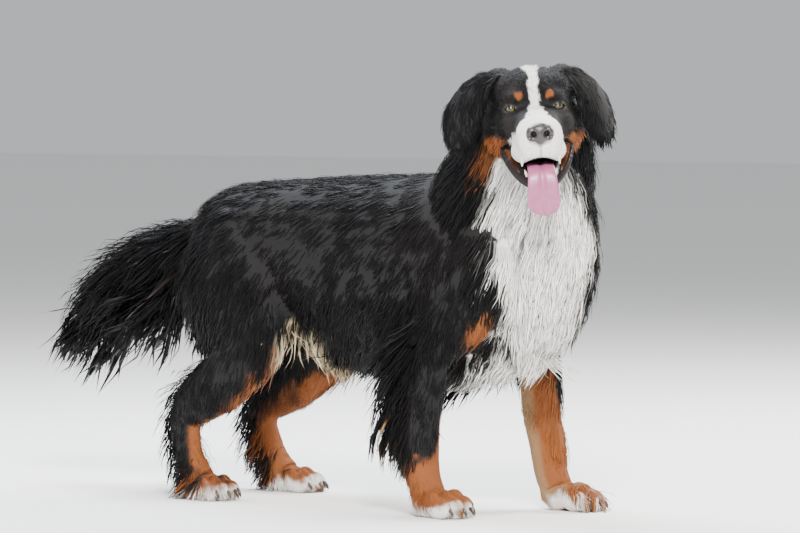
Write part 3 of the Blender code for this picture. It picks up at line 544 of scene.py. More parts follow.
# %% The head's skin
ROUGH_VOXEL, HEAD_VOXEL = 0.004, 0.0024
MUZZLE = [
    (-0.030, 0, -0.036, 0.060, 0.052),
    (0.015, 0, -0.038, 0.053, 0.043),
    (0.055, 0, -0.046, 0.047, 0.041),
    (0.088, 0, -0.049, 0.045, 0.040),
    (0.107, 0, -0.052, 0.038, 0.035),
    (0.116, 0, -0.055, 0.018, 0.018),
]
JAW = [
    (-0.070, 0, -0.070, 0.056, 0.034),
    (-0.030, 0, -0.084, 0.063, 0.032),
    (0.010, 0, -0.101, 0.056, 0.026),
    (0.045, 0, -0.119, 0.044, 0.020),
    (0.072, 0, -0.131, 0.033, 0.016),
    (0.086, 0, -0.135, 0.020, 0.011),
]
MOUTH = [
    (-0.012, 0, -0.094, 0.020, 0.010),
    (0.020, 0, -0.096, 0.030, 0.014),
    (0.060, 0, -0.100, 0.031, 0.016),
    (0.100, 0, -0.106, 0.026, 0.020),
    (0.130, 0, -0.110, 0.024, 0.022),
]
JAW_TROUGH = [
    (-0.020, 0, -0.076, 0.034, 0.016),
    (0.010, 0, -0.086, 0.033, 0.016),
    (0.045, 0, -0.102, 0.027, 0.014),
    (0.074, 0, -0.114, 0.021, 0.010),
    (0.084, 0, -0.117, 0.012, 0.006),
]
HEAD_DEPTH = 0.002
# How far the socket lies outside the eye, and the eyeball inside it, and how thick a lid is
SOCKET, LID = 0.0003, 0.0028


def mirrored(make):
    """What make gives for the dog's left and for its right."""
    return [mesh for side in (1, -1) for mesh in make(side)]


def head_side(side):
    """The paired masses of one side: brow, socket, temple, cheek, cheekbone and hanging lip."""
    turn = Matrix.Rotation(side * math.radians(-8), 4, "Z")
    return [
        ball((-0.014, side * 0.034, 0.018), (0.027, 0.028, 0.018)),
        ball((-0.020, side * EYE_SPAN, 0.000), (0.024, 0.024, 0.022)),
        ball((-0.058, side * 0.044, 0.026), (0.052, 0.036, 0.040)),
        ball((-0.062, side * 0.046, -0.040), (0.054, 0.046, 0.056)),
        ball((-0.082, side * 0.058, 0.040), (0.038, 0.032, 0.034)),
        ball((-0.020, side * 0.048, -0.030), (0.040, 0.028, 0.030)),
        ball((0.046, side * 0.027, -0.076), (0.052, 0.026, 0.024), turn),
        ball((0.084, side * 0.018, -0.070), (0.024, 0.021, 0.022), turn),
    ]


def lid_opening(side):
    """The almond between the lids, from corner to corner, cut right through them."""
    stations = [
        (0.012, -0.0112 * side, -0.0012, 0.012, 0.0004),
        (0.012, -0.0060 * side, 0.0000, 0.012, 0.0036),
        (0.012, 0.0000, 0.0004, 0.012, 0.0047),
        (0.012, 0.0060 * side, 0.0004, 0.012, 0.0034),
        (0.012, 0.0106 * side, 0.0000, 0.012, 0.0004),
    ]
    mesh = loft(stations, 16, 4, across=(1, 0, 0))
    mesh.transform(eye_place(side))
    return mesh


def eye_globe(side, more):
    """A ball round the eye, larger than the eye by this much."""
    mesh = ball((0, 0, 0), (EYE_RADIUS + more,) * 3, None, 32, 20)
    mesh.transform(eye_place(side))
    return mesh


def head_skin():
    """Skull, upper muzzle and lids, with the eyes and the mouth opened."""
    blocks = [
        ball((-0.078, 0, 0.006), (0.082, 0.076, 0.066)),
        ball((-0.040, 0, 0.022), (0.050, 0.054, 0.048)),
        loft(MUZZLE, 32, power=2.5),
    ] + mirrored(head_side)
    head = fused("skin_head", blocks, ROUGH_VOXEL, 22)
    press(head, (0.016, 0, 0.010), 0.020, (-0.004, 0, -0.002))
    press(head, (-0.004, 0, 0.052), 0.012, (-0.003, 0, -0.001))
    press(head, (-0.036, 0, 0.074), 0.014, (0, 0, -0.003))
    for side in (1, -1):
        press(head, (0.012, side * 0.034, -0.004), 0.013, (-0.004, 0, 0))
        press(head, (0.030, side * 0.052, -0.030), 0.018, (0, -side * 0.004, 0))
    press(head, (0.116, 0, -0.044), 0.018, (-0.012, 0, 0))
    sink(head, HEAD_DEPTH)
    head = fused("skin_head", [mesh_alone(head), eye_globe(1, LID), eye_globe(-1, LID)], HEAD_VOXEL, 2)
    tools = [eye_globe(1, SOCKET), eye_globe(-1, SOCKET), lid_opening(1), lid_opening(-1), loft(MOUTH, 20)]
    return cut(head, tools)


def jaw_skin():
    """The lower jaw with the trough that the tongue lies in."""
    jaw = fused("skin_jaw", [loft(JAW, 24)], HEAD_VOXEL, 4)
    sink(jaw, 0.5 * HEAD_DEPTH)
    return cut(jaw, [loft(JAW_TROUGH, 20)])


skin_head = head_skin()
skin_jaw = jaw_skin()
print("skin_head has", len(skin_head.data.polygons), "faces")

# %% [markdown]
# An ear is a leaf: a sheet bowed out along its middle line, given a thickness of a few millimetres and
# melted, so that its rim is round and its inner face is the cup.

# %% The ears' skin
# The flap's middle line from root to tip, on the dog's left: (x, y, z, half width, turn of its width)
EAR = [
    (-0.078, 0.040, 0.046, 0.028, 5),
    (-0.074, 0.064, 0.060, 0.032, 16),
    (-0.067, 0.089, 0.048, 0.037, 36),
    (-0.060, 0.114, 0.016, 0.040, 48),
    (-0.052, 0.127, -0.020, 0.038, 54),
    (-0.045, 0.134, -0.054, 0.028, 56),
    (-0.042, 0.136, -0.072, 0.012, 56),
]
EAR_CUP = 0.012
EAR_SKIN, EAR_VOXEL = 0.0055, 0.0018
EAR_SPREAD = {1: 0.93, -1: 1.04}


def ear_flap(side, columns=16):
    rows = between(EAR, 5)
    bm = bmesh.new()
    grid = []
    for x, y, z, half, turn in rows:
        wide = Vector((-math.cos(math.radians(turn)), math.sin(math.radians(turn)), 0))
        out = Vector((math.sin(math.radians(turn)), math.cos(math.radians(turn)), 0.25)).normalized()
        line = []
        for k in range(columns + 1):
            t = 2 * k / columns - 1
            point = Vector((x, y, z)) + wide * half * t + out * EAR_CUP * (1 - t * t)
            point.y *= side * EAR_SPREAD[side]
            line.append(bm.verts.new(point))
        grid.append(line)
    bridge(bm, grid, columns)
    ear = add_object("ear", mesh_of(bm, "ear"))
    thick = ear.modifiers.new("Thickness", "SOLIDIFY")
    thick.thickness = EAR_SKIN
    thick.offset = 0
    return mesh_alone(applied(ear))


skin_ears = fused("skin_ears", [ear_flap(1), ear_flap(-1)], EAR_VOXEL, 4)
SKINS = (skin_body, skin_paws, skin_head, skin_jaw, skin_ears)
for skin in (skin_head, skin_jaw, skin_ears):
    skin.data.transform(HEAD)
print("skin_ears has", len(skin_ears.data.polygons), "faces")

# %% [markdown]
# ## Markings
# The breed's three colours are painted by rules of place, not by a picture. Each rule gives a share from
# 0 to 1 for every point: white blaze, muzzle, throat and chest, rust brows, cheeks and legs, cream groin,
# pale toes, and black everywhere else. The same share colours the skin and, later, each lock at its root.

# %% Colours and a wobble for ragged edges
BLACK = np.array((0.0024, 0.0022, 0.0027))
BROWN_BLACK = np.array((0.012, 0.0062, 0.0040))
RUST = np.array((0.240, 0.072, 0.017))
WHITE = np.array((0.900, 0.880, 0.840))
CREAM = np.array((0.700, 0.575, 0.375))
TAN = np.array((0.300, 0.170, 0.080))
LIP = np.array((0.016, 0.012, 0.013))


def wobble(points, wave, seed):
    """A smooth wander between about -1 and 1, the sum of a few waves of this length."""
    chance = np.random.default_rng(seed)
    total = np.zeros(len(points))
    for _ in range(7):
        direction = chance.normal(size=3)
        direction *= math.tau / (wave * chance.uniform(0.6, 1.5)) / np.linalg.norm(direction)
        total += np.sin(points @ direction + chance.uniform(0, math.tau))
    return total / 2.6


def mix(colours, colour, share):
    return colours + (colour - colours) * share[:, None]


def in_head(points):
    """The points as the head's own frame has them."""
    return (points - np.array(HEAD.translation)) @ np.array(HEAD.to_3x3())


def near_place(points, centre, sizes):
    """1 inside an ellipsoid, 0 outside it, soft at its edge."""
    away = np.sqrt((((points - np.array(centre)) / np.array(sizes)) ** 2).sum(1))
    return soft(1 - away, 0.22)


# %% [markdown]
# On the body the white runs from the throat down the chest between two edges that wander, and stops at
# the brisket. A lock shows its colour below its root, so the edges are read a little lower than the point.
# Each leg is rust below a line that climbs on its inner face, and the hind legs keep a black strip down
# the back. The toes are white, as the breed has them.

# %% The body's markings
# Height, and the dog's right and left edge of the white there, seen from the front
CHEST_LEVELS = (0.235, 0.290, 0.336, 0.375, 0.414, 0.450, 0.488, 0.506, 0.543, 0.582, 0.620, 0.650,
                0.700)
CHEST_RIGHTS = (-0.045, -0.062, -0.096, -0.112, -0.118, -0.120, -0.124, -0.128, -0.132, -0.136, -0.138,
                -0.140, -0.140)
CHEST_LEFTS = (0.050, 0.080, 0.045, 0.030, 0.012, 0.012, 0.016, 0.026, 0.014, -0.026, -0.046, -0.060,
               -0.074)
# How far forward the white begins there
CHEST_FRONTS = (0.190, 0.230, 0.285, 0.315, 0.326, 0.328, 0.326, 0.322, 0.322, 0.326, 0.332, 0.340,
                0.350)
# How far below its root a lock shows its colour
HANG = 0.040


def body_colours(points, normals):
    x, y, z = points.T
    side = np.sign(y)
    ragged = 0.010 * wobble(points, 0.05, 1) + 0.006 * wobble(points, 0.02, 2)
    inner, ahead = -side * normals[:, 1], normals[:, 0]
    colours = np.tile(BLACK, (len(points), 1))
    colours = mix(colours, BROWN_BLACK, 0.15 * soft(wobble(points, 0.16, 3) - 0.2, 0.5))

    in_foreleg = soft(0.37 - z, 0.02) * soft(x - 0.04, 0.02) * soft(np.abs(y) - 0.045, 0.015)
    on_front = np.where(side > 0, 0.125, 0.012)
    fore_line = 0.108 + 0.140 * np.clip(inner, 0, 1) + on_front * np.clip(ahead, 0, 1) + ragged
    colours = mix(colours, RUST, in_foreleg * soft(fore_line - z, 0.012))
    feathers = soft(0.15 - ahead, 0.2) * soft(inner + np.where(side > 0, 0.10, -0.45), 0.15)
    colours = mix(colours, TAN, in_foreleg * feathers * soft(0.34 - z, 0.03))

    in_hindleg = soft(-0.06 - x, 0.02) * soft(0.345 - z, 0.02) * soft(np.abs(y) - 0.03, 0.012)
    facing = 0.85 * ahead + 0.22 * inner - 0.26 + 0.1 * wobble(points, 0.06, 4)
    hind_line = 0.225 + 0.075 * np.clip(ahead, 0, 1) + ragged
    colours = mix(colours, RUST, in_hindleg * soft(facing, 0.16) * soft(hind_line - z, 0.02))
    colours = mix(colours, RUST, in_hindleg * soft(0.050 + ragged - z, 0.012) * soft(ahead + 0.3, 0.2))
    colours = mix(colours, RUST, near_place(points, (-0.47, 0, 0.42), (0.05, 0.032, 0.05)))

    seen = z - HANG
    right, left = np.interp(seen, CHEST_LEVELS, CHEST_RIGHTS), np.interp(seen, CHEST_LEVELS, CHEST_LEFTS)
    front = np.interp(seen, CHEST_LEVELS, CHEST_FRONTS)
    white = soft(y - right + 1.3 * ragged, 0.008) * soft(left - y + 1.3 * ragged, 0.010)
    white *= soft(x + ragged - front, 0.012) * soft(z - 0.225, 0.015)
    for patch_side, patch_x in ((1, 0.340), (-1, 0.306)):
        patch = near_place(points, (patch_x, patch_side * 0.122, 0.356), (0.042, 0.028, 0.040))
        colours = mix(colours, RUST, patch * (1 - white))
    notch = near_place(points, (0.325, -0.100, 0.330), (0.030, 0.018, 0.022))
    colours = mix(colours, WHITE, white * (1 - notch))
    colours = mix(colours, BROWN_BLACK, notch)
    groin = np.maximum(*(near_place(points, (-0.200, y_groin, 0.318), (0.072, 0.062, 0.044))
                         for y_groin in (0.060, -0.060)))
    colours = mix(colours, CREAM, groin * soft(0.60 - normals[:, 2], 0.3))

    toes = soft(0.030 + 0.5 * ragged - z, 0.008) * soft(0.6 + wobble(points, 0.05, 8), 0.5)
    colours = mix(colours, WHITE, toes)
    sides_of_throat = near_place(points, (0.330, -0.128, 0.700), (0.04, 0.036, 0.034))
    return mix(colours, RUST, 0.45 * sides_of_throat * (1 - white))


# %% [markdown]
# The head's markings are drawn in the head's own frame. The blaze is a half width along the face: narrow
# between the eyes, widening on the muzzle until all of it is white. Rust sits over each eye as a thumb
# mark and fills the cheek behind the white, and the rims of lids and lips are black.

# %% The head's markings
BLAZE_PLACES = (-0.135, -0.110, -0.085, -0.040, -0.010, 0.012)
BLAZE_HALVES = (0.002, 0.0120, 0.0165, 0.0105, 0.0084, 0.0086)
# On the muzzle the half width goes by height instead, until all of it is white
MUZZLE_LEVELS = (-0.075, -0.045, -0.025, -0.010, 0.000, 0.012)
MUZZLE_HALVES = (0.0580, 0.0465, 0.0340, 0.0200, 0.0135, 0.0086)
BROW_SPOT = (0.002, 0.0290, 0.0232)
# The lower lip's middle line on the dog's left, from the corner of the mouth to the chin
LIP_LINE = [
    (-0.030, 0.0640, -0.073), (-0.010, 0.0655, -0.077), (0.010, 0.0625, -0.084), (0.030, 0.0570, -0.097),
    (0.048, 0.0480, -0.112), (0.065, 0.0350, -0.126), (0.078, 0.0195, -0.134), (0.083, 0.0000, -0.137),
]


def lip_at(x):
    """How far out and how high the lower lip's middle line is at x."""
    rows = np.array(LIP_LINE)
    return np.interp(x, rows[:, 0], rows[:, 1]), np.interp(x, rows[:, 0], rows[:, 2])


def head_colours(points, normals):
    own = in_head(points)
    x, y, z = own.T
    ragged = 0.0022 * wobble(own, 0.016, 5) + 0.0012 * wobble(own, 0.007, 6)
    colours = np.tile(BLACK, (len(own), 1))
    colours = mix(colours, BROWN_BLACK, 0.4 * soft(wobble(own, 0.06, 7) - 0.3, 0.4))
    for side in (1, -1):
        middle = np.array((BROW_SPOT[0], side * BROW_SPOT[1], BROW_SPOT[2]))
        spot = near_place(own + 0.6 * ragged[:, None], middle, (0.03, 0.0068, 0.0076))
        colours = mix(colours, RUST, spot)
    away = np.abs(y)
    cheek = soft(-0.052 + 1.2 * ragged - 0.25 * (x + 0.02) - z, 0.006) * soft(x + 0.066, 0.02)
    lip_y, lip_z = lip_at(x)
    in_mouth = soft(lip_y - 0.003 - away, 0.003) * soft(z - lip_z + 0.004, 0.003)
    in_mouth *= soft(lip_z + 0.016 - z, 0.004)
    colours = mix(colours, RUST, cheek * soft(away - 0.020, 0.006) * (1 - in_mouth))
    throat = soft(0.026 + ragged - away, 0.006) * soft(-0.098 - z - 0.30 * x, 0.006)
    throat *= soft(x + 0.055, 0.015)
    blaze = soft(np.interp(x, BLAZE_PLACES, BLAZE_HALVES) + ragged - away, 0.0016)
    blaze *= soft(z + 0.010, 0.004) * soft(0.030 - x, 0.006) * soft(x + 0.118, 0.006)
    half = np.maximum(np.interp(z, MUZZLE_LEVELS, MUZZLE_HALVES), np.interp(x, (0.060, 0.092), (0, 0.06)))
    muzzle = soft(half + ragged - away, 0.0016) * soft(x + 0.012 - 0.35 * (z + 0.07), 0.006)
    muzzle *= soft(0.016 - z, 0.006)
    colours = mix(colours, WHITE, np.maximum(np.maximum(blaze, muzzle), throat))
    under_nose = soft(x - 0.088, 0.008) * soft(-0.052 - z, 0.006)
    speckles = under_nose * soft(wobble(own, 0.0035, 9) - 1.5, 0.35)
    groove = 0.9 * under_nose * soft(0.0012 - away, 0.0008)
    return mix(colours, LIP, np.clip(0.75 * (speckles + groove), 0, 1))


def above_lip(points):
    """1 for the part of the jaw that lies inside the lower lip."""
    own = in_head(points)
    return soft(own[:, 2] - lip_at(own[:, 0])[1], 0.0015)


def jaw_colours(points, normals):
    """White at the chin, rust beside the mouth and dark inside the lip."""
    own = in_head(points)
    beside = soft(0.052 + 0.003 * wobble(own, 0.02, 11) - own[:, 0], 0.008)
    beside *= soft(np.abs(own[:, 1]) - 0.026, 0.006)
    return mix(mix(head_colours(points, normals), 0.8 * RUST, beside), LIP, above_lip(points))


def near_mouth(points):
    """How near each point is to the cut of the mouth, 1 on its edge."""
    own = in_head(points)
    rows = between(MOUTH, 6)
    gap = np.full(len(own), 1e9)
    for x, _, z, half_a, half_b in rows:
        inside = np.sqrt((own[:, 1] / (half_a + 0.004)) ** 2 + ((own[:, 2] - z) / (half_b + 0.004)) ** 2)
        gap = np.minimum(gap, inside + 40 * np.abs(own[:, 0] - x))
    return soft(1.02 - gap, 0.06)


def near_eyes(points):
    shares = np.zeros(len(points))
    for side in (1, -1):
        centre = np.array(HEAD @ (eye_place(side) @ Vector((EYE_RADIUS, 0, 0.0005))))
        away = np.linalg.norm((points - centre) * np.array((1, 1, 1.6)), axis=1)
        shares = np.maximum(shares, soft(0.0145 - away, 0.002))
    return shares


# %% [markdown]
# ## How the coat lies
# Grooming is a matter of directions: back along the spine, down the ribs, forward over the toes. The tables
# below are such directions at a few dozen places, with the hair's length, how far it stands off the skin
# and how much it hangs. Every point of the skin takes a mean of the guides, weighted by nearness and by
# whether the guide's skin faces the same way, so the coat turns smoothly from one to the next.

# %% The guides of the body
# (x, y, z), lie, length in mm, lift in degrees, share of the length that it hangs. y > 0 means both sides.
BODY_GUIDES = [
    ((0.290, 0.00, 0.800), (-0.8, 0, -0.6), 55, 20, 0.05),
    ((0.210, 0.00, 0.720), (-0.85, 0, -0.5), 62, 20, 0.05),
    ((0.120, 0.00, 0.650), (-1, 0, -0.12), 56, 17, 0.0),
    ((-0.080, 0.00, 0.640), (-1, 0, -0.02), 52, 17, 0.0),
    ((-0.290, 0.00, 0.625), (-1, 0, -0.06), 52, 17, 0.0),
    ((-0.440, 0.00, 0.580), (-0.8, 0, -0.6), 58, 16, 0.05),
    ((0.060, 0.10, 0.610), (-0.85, 0.1, -0.5), 54, 11, 0.0),
    ((-0.200, 0.10, 0.590), (-0.85, 0.1, -0.45), 50, 11, 0.0),
    ((-0.360, 0.09, 0.580), (-0.8, 0.1, -0.6), 54, 12, 0.0),
    ((0.080, 0.15, 0.480), (-0.72, 0, -0.7), 56, 10, 0.05),
    ((-0.120, 0.14, 0.480), (-0.78, 0, -0.62), 54, 10, 0.05),
    ((0.000, 0.14, 0.370), (-0.66, 0, -0.75), 62, 11, 0.08),
    ((-0.140, 0.12, 0.370), (-0.62, 0, -0.78), 66, 12, 0.10),
    ((0.040, 0.06, 0.280), (-0.55, 0, -0.84), 74, 22, 0.15),
    ((0.180, 0.05, 0.270), (-0.50, 0, -0.86), 74, 20, 0.15),
    ((-0.080, 0.05, 0.300), (-0.45, 0, -0.9), 76, 26, 0.15),
    ((-0.190, 0.06, 0.325), (0.05, 0, -1), 98, 30, 0.15),
    ((-0.230, 0.03, 0.315), (0.10, 0, -1), 84, 30, 0.15),
    ((0.230, 0.14, 0.520), (-0.45, 0, -0.9), 56, 12, 0.05),
    ((0.275, 0.15, 0.420), (-0.35, 0, -0.93), 52, 12, 0.05),
    ((0.370, 0.06, 0.540), (-0.05, 0.15, -1), 84, 14, 0.05),
    ((0.390, 0.00, 0.480), (-0.05, 0, -1), 88, 14, 0.05),
    ((0.365, 0.06, 0.400), (-0.10, 0, -1), 84, 16, 0.08),
    ((0.330, 0.00, 0.310), (-0.30, 0, -0.95), 80, 20, 0.12),
    ((0.290, 0.07, 0.290), (-0.40, 0, -0.9), 76, 20, 0.12),
    ((0.400, -0.03, 0.640), (0.0, 0.0, -1), 74, 16, 0.05),
    ((0.300, 0.13, 0.640), (-0.45, 0.1, -0.88), 78, 17, 0.05),
    ((0.330, 0.14, 0.560), (-0.35, 0.0, -0.93), 80, 15, 0.05),
    ((0.340, 0.11, 0.730), (-0.35, 0.1, -0.93), 66, 20, 0.05),
    ((0.190, 0.12, 0.650), (-0.75, 0.1, -0.65), 66, 16, 0.05),
    ((-0.320, 0.17, 0.470), (-0.55, 0, -0.84), 52, 13, 0.0),
    ((-0.280, 0.16, 0.380), (-0.45, 0, -0.9), 52, 13, 0.0),
    ((-0.400, 0.15, 0.400), (-0.45, 0, -0.9), 60, 20, 0.05),
    ((-0.460, 0.08, 0.480), (-0.30, 0, -0.95), 74, 26, 0.10),
    ((-0.450, 0.10, 0.370), (-0.35, 0, -0.94), 84, 34, 0.10),
    ((-0.420, 0.11, 0.300), (-0.40, 0, -0.92), 70, 30, 0.10),
    ((-0.190, 0.12, 0.360), (-0.25, 0, -0.97), 46, 16, 0.05),
    ((-0.330, 0.05, 0.300), (-0.30, 0, -0.95), 40, 18, 0.05),
    ((-0.300, 0.15, 0.270), (-0.50, 0, -0.87), 34, 14, 0.0),
    ((-0.270, 0.11, 0.270), (-0.40, 0, -0.9), 22, 10, 0.0),
    ((-0.460, 0.11, 0.210), (-0.45, 0, -0.9), 66, 38, 0.10),
    ((-0.400, 0.14, 0.180), (-0.20, 0, -0.98), 20, 12, 0.0),
    ((-0.380, 0.11, 0.140), (0.05, 0, -1), 13, 10, 0.0),
    ((-0.450, 0.11, 0.120), (-0.45, 0, -0.9), 72, 42, 0.05),
    ((-0.430, 0.11, 0.075), (-0.45, 0, -0.9), 56, 40, 0.0),
    ((-0.370, 0.11, 0.050), (0.5, 0, -0.87), 11, 10, 0.0),
    ((0.290, 0.12, 0.350), (-0.15, 0, -1), 34, 14, 0.0),
    ((0.230, 0.17, 0.320), (-0.35, 0, -0.93), 44, 16, 0.05),
    ((0.140, 0.12, 0.340), (-0.48, 0, -0.88), 125, 34, 0.12),
    ((0.150, 0.12, 0.270), (-0.50, 0, -0.87), 165, 38, 0.12),
    ((0.150, 0.12, 0.200), (-0.50, 0, -0.87), 120, 36, 0.10),
    ((0.130, 0.12, 0.150), (-0.50, 0, -0.87), 60, 30, 0.08),
    ((0.240, 0.12, 0.240), (-0.10, 0, -1), 17, 9, 0.0),
    ((0.220, 0.16, 0.220), (-0.30, 0, -0.95), 26, 12, 0.0),
    ((0.210, 0.08, 0.220), (-0.30, 0, -0.95), 30, 14, 0.0),
    ((0.230, 0.12, 0.110), (0.0, 0, -1), 13, 9, 0.0),
    ((0.150, 0.12, 0.090), (-0.25, 0, -0.97), 22, 16, 0.0),
    ((0.260, 0.12, 0.060), (0.5, 0, -0.86), 11, 9, 0.0),
    ((-0.520, 0.00, 0.540), (-0.95, 0, -0.2), 92, 26, 0.10),
    ((-0.640, 0.00, 0.505), (-0.92, 0, -0.36), 116, 27, 0.12),
    ((-0.760, 0.00, 0.430), (-0.84, 0, -0.54), 118, 22, 0.12),
    ((-0.815, 0.00, 0.350), (-0.70, 0, -0.72), 118, 10, 0.10),
    ((-0.560, 0.04, 0.495), (-0.74, 0.05, -0.68), 128, 16, 0.15),
    ((-0.660, 0.04, 0.460), (-0.74, 0.05, -0.68), 134, 16, 0.15),
    ((-0.760, 0.03, 0.405), (-0.70, 0.05, -0.72), 128, 14, 0.12),
    ((-0.520, 0.00, 0.465), (-0.36, 0, -0.94), 245, 34, 0.10),
    ((-0.620, 0.00, 0.445), (-0.50, 0, -0.87), 260, 34, 0.10),
    ((-0.720, 0.00, 0.400), (-0.60, 0, -0.80), 205, 26, 0.10),
]

# %% [markdown]
# The face has the shortest hair of all. It starts at the nose and runs back over the muzzle and the
# skull, parts round the eyes, and grows longer on the cheeks and behind the jaw. The guides of head and
# ears are in the head's frame.

# %% The guides of head and ears
HEAD_GUIDES = [
    ((0.105, 0.00, -0.028), (-1, 0, 0.15), 3.5, 14, 0.0),
    ((0.060, 0.00, -0.008), (-1, 0, 0.3), 4.5, 14, 0.0),
    ((0.022, 0.00, 0.002), (-0.6, 0, 0.8), 6, 16, 0.0),
    ((0.000, 0.00, 0.045), (-0.5, 0, 0.85), 9, 18, 0.0),
    ((-0.050, 0.00, 0.075), (-0.95, 0, 0.2), 14, 20, 0.0),
    ((-0.100, 0.00, 0.070), (-1, 0, -0.3), 22, 22, 0.0),
    ((-0.150, 0.00, 0.030), (-0.7, 0, -0.7), 38, 22, 0.05),
    ((-0.150, 0.05, -0.010), (-0.7, 0.1, -0.7), 40, 22, 0.05),
    ((0.070, 0.045, -0.045), (-0.9, 0.1, -0.35), 4.5, 14, 0.0),
    ((0.060, 0.050, -0.080), (-0.6, 0.0, -0.8), 5.5, 16, 0.0),
    ((0.105, 0.022, -0.075), (-0.2, 0.5, -0.8), 3.5, 16, 0.0),
    ((0.110, 0.000, -0.080), (0.0, 0.2, -1), 3.5, 16, 0.0),
    ((0.020, 0.045, -0.025), (-0.8, 0.45, -0.35), 6, 13, 0.0),
    ((0.000, 0.060, -0.020), (-0.8, 0.45, -0.35), 8, 13, 0.0),
    ((-0.002, 0.030, 0.024), (-0.4, 0.35, 0.85), 7, 18, 0.0),
    ((-0.030, 0.045, 0.055), (-0.75, 0.35, 0.45), 12, 18, 0.0),
    ((-0.050, 0.070, 0.020), (-0.80, 0.50, -0.3), 22, 20, 0.0),
    ((-0.030, 0.080, -0.020), (-0.8, 0.4, -0.45), 18, 18, 0.0),
    ((-0.090, 0.080, 0.010), (-0.7, 0.5, -0.5), 30, 26, 0.05),
    ((-0.050, 0.088, -0.050), (-0.65, 0.30, -0.70), 28, 24, 0.05),
    ((-0.060, 0.075, -0.085), (-0.5, 0.15, -0.85), 34, 22, 0.08),
    ((-0.010, 0.060, -0.070), (-0.6, 0.15, -0.78), 16, 18, 0.0),
    ((0.010, 0.045, -0.110), (-0.6, 0.1, -0.78), 14, 18, 0.05),
    ((0.050, 0.030, -0.130), (-0.8, 0.1, -0.5), 8, 16, 0.0),
    ((0.080, 0.000, -0.140), (-0.7, 0, -0.6), 7, 18, 0.0),
    ((0.020, 0.000, -0.130), (-0.7, 0, -0.7), 22, 22, 0.1),
    ((-0.040, 0.000, -0.115), (-0.45, 0, -0.9), 40, 24, 0.1),
]
EAR_GUIDES = [
    ((-0.080, 0.050, 0.075), (-0.2, 0.8, 0.3), 18, 14, 0.0),
    ((-0.074, 0.080, 0.075), (0.05, 0.8, -0.55), 24, 14, 0.0),
    ((-0.062, 0.115, 0.035), (0.10, 0.25, -0.95), 26, 11, 0.08),
    ((-0.048, 0.135, -0.015), (0.10, 0.00, -1), 26, 10, 0.08),
    ((-0.040, 0.142, -0.060), (0.05, -0.12, -1), 20, 10, 0.08),
    ((-0.090, 0.125, 0.010), (-0.35, 0.10, -0.93), 36, 18, 0.12),
    ((-0.085, 0.130, -0.040), (-0.30, 0.00, -0.95), 30, 18, 0.12),
    ((-0.030, 0.095, 0.000), (0.25, 0.05, -0.97), 24, 16, 0.08),
    ((-0.060, 0.100, -0.010), (0.0, 0.0, -1), 14, 14, 0.05),
]

# %% [markdown]
# Shepard's method turns the guides into fields. The weight of a guide falls with the fourth power of its
# distance, so close to a guide its own numbers rule, and its facing is read from the nearest skin.

# %% From guides to fields
MILLIMETRE = 0.001


def guide_rows(guides, place):
    """Both sides of each guide as one array: place, lie, length, lift, hang."""
    rows = []
    turn = place.to_3x3()
    for at, lie, length, lift, hang in guides:
        for side in ((1, -1) if at[1] > 0 else (1,)):
            spot = place @ Vector((at[0], side * at[1], at[2]))
            way = (turn @ Vector((lie[0], side * lie[1], lie[2]))).normalized()
            rows.append((*spot, *way, length * MILLIMETRE, math.radians(lift), hang))
    return np.array(rows)


def groomed(points, normals, rows, close):
    """Each point's lie along the skin, and its length, lift and hang."""
    total = np.zeros((len(points), 6))
    weights = np.zeros(len(points))
    for row in rows:
        distances = ((points - row[:3]) ** 2).sum(1)
        facing = normals[np.argmin(distances)]
        alike = np.clip(0.15 + normals @ facing, 0, 1) ** 2
        weight = (0.01 + alike) / (distances + close ** 2) ** 2
        total += weight[:, None] * row[3:]
        weights += weight
    total /= weights[:, None]
    lie = total[:, :3]
    lie = lie - (lie * normals).sum(1)[:, None] * normals
    lie /= np.maximum(np.linalg.norm(lie, axis=1), 1e-6)[:, None]
    return lie, total[:, 3:]


def store(mesh, name, kind, values):
    """Keeps values, one for each vertex, as an attribute of the mesh."""
    attribute = mesh.attributes.new(name, kind, "POINT")
    key = {"FLOAT": "value", "FLOAT_VECTOR": "vector", "FLOAT_COLOR": "color"}[kind]
    attribute.data.foreach_set(key, np.asarray(values, np.float32).ravel())


def dress(skin, colours, rows, close, bare):
    """Gives a skin its colours, the coat's fields and the share of it that bears hair."""
    mesh = skin.data
    points, normals = points_of(mesh), normals_of(mesh)
    lie, sizes = groomed(points, normals, rows, close)
    shown = np.hstack([colours(points, normals), np.ones((len(points), 1))])
    store(mesh, "coat_colour", "FLOAT_COLOR", shown)
    store(mesh, "lie", "FLOAT_VECTOR", lie)
    store(mesh, "groom", "FLOAT_VECTOR", sizes)
    store(mesh, "furred", "FLOAT", 1 - bare(points, normals))
    mesh.shade_smooth()


def inside_of(points, *skins):
    """1 for the points that lie inside any of these skins."""
    hidden = np.zeros(len(points))
    for skin in skins:
        bm = bmesh.new()
        bm.from_mesh(skin.data)
        tree = BVHTree.FromBMesh(bm)
        bm.free()
        corners = points_of(skin.data)
        box_low, box_high = corners.min(0), corners.max(0)
        candidates = np.nonzero(((points > box_low) & (points < box_high)).all(1))[0]
        for k in candidates:
            near, normal, _, _ = tree.find_nearest(points[k])
            if (Vector(points[k]) - near).dot(normal) < 0:
                hidden[k] = 1
    return hidden


def dark_rims(points):
    return np.maximum(near_mouth(points), near_eyes(points))


def bare_soles(points, normals):
    return np.maximum(soft(0.007 - points[:, 2], 0.003), soft(-0.75 - normals[:, 2], 0.1))


def lip_colours(points, normals, colours=head_colours):
    """The markings with dark rims to mouth and lids."""
    return mix(colours(points, normals), LIP, dark_rims(points))


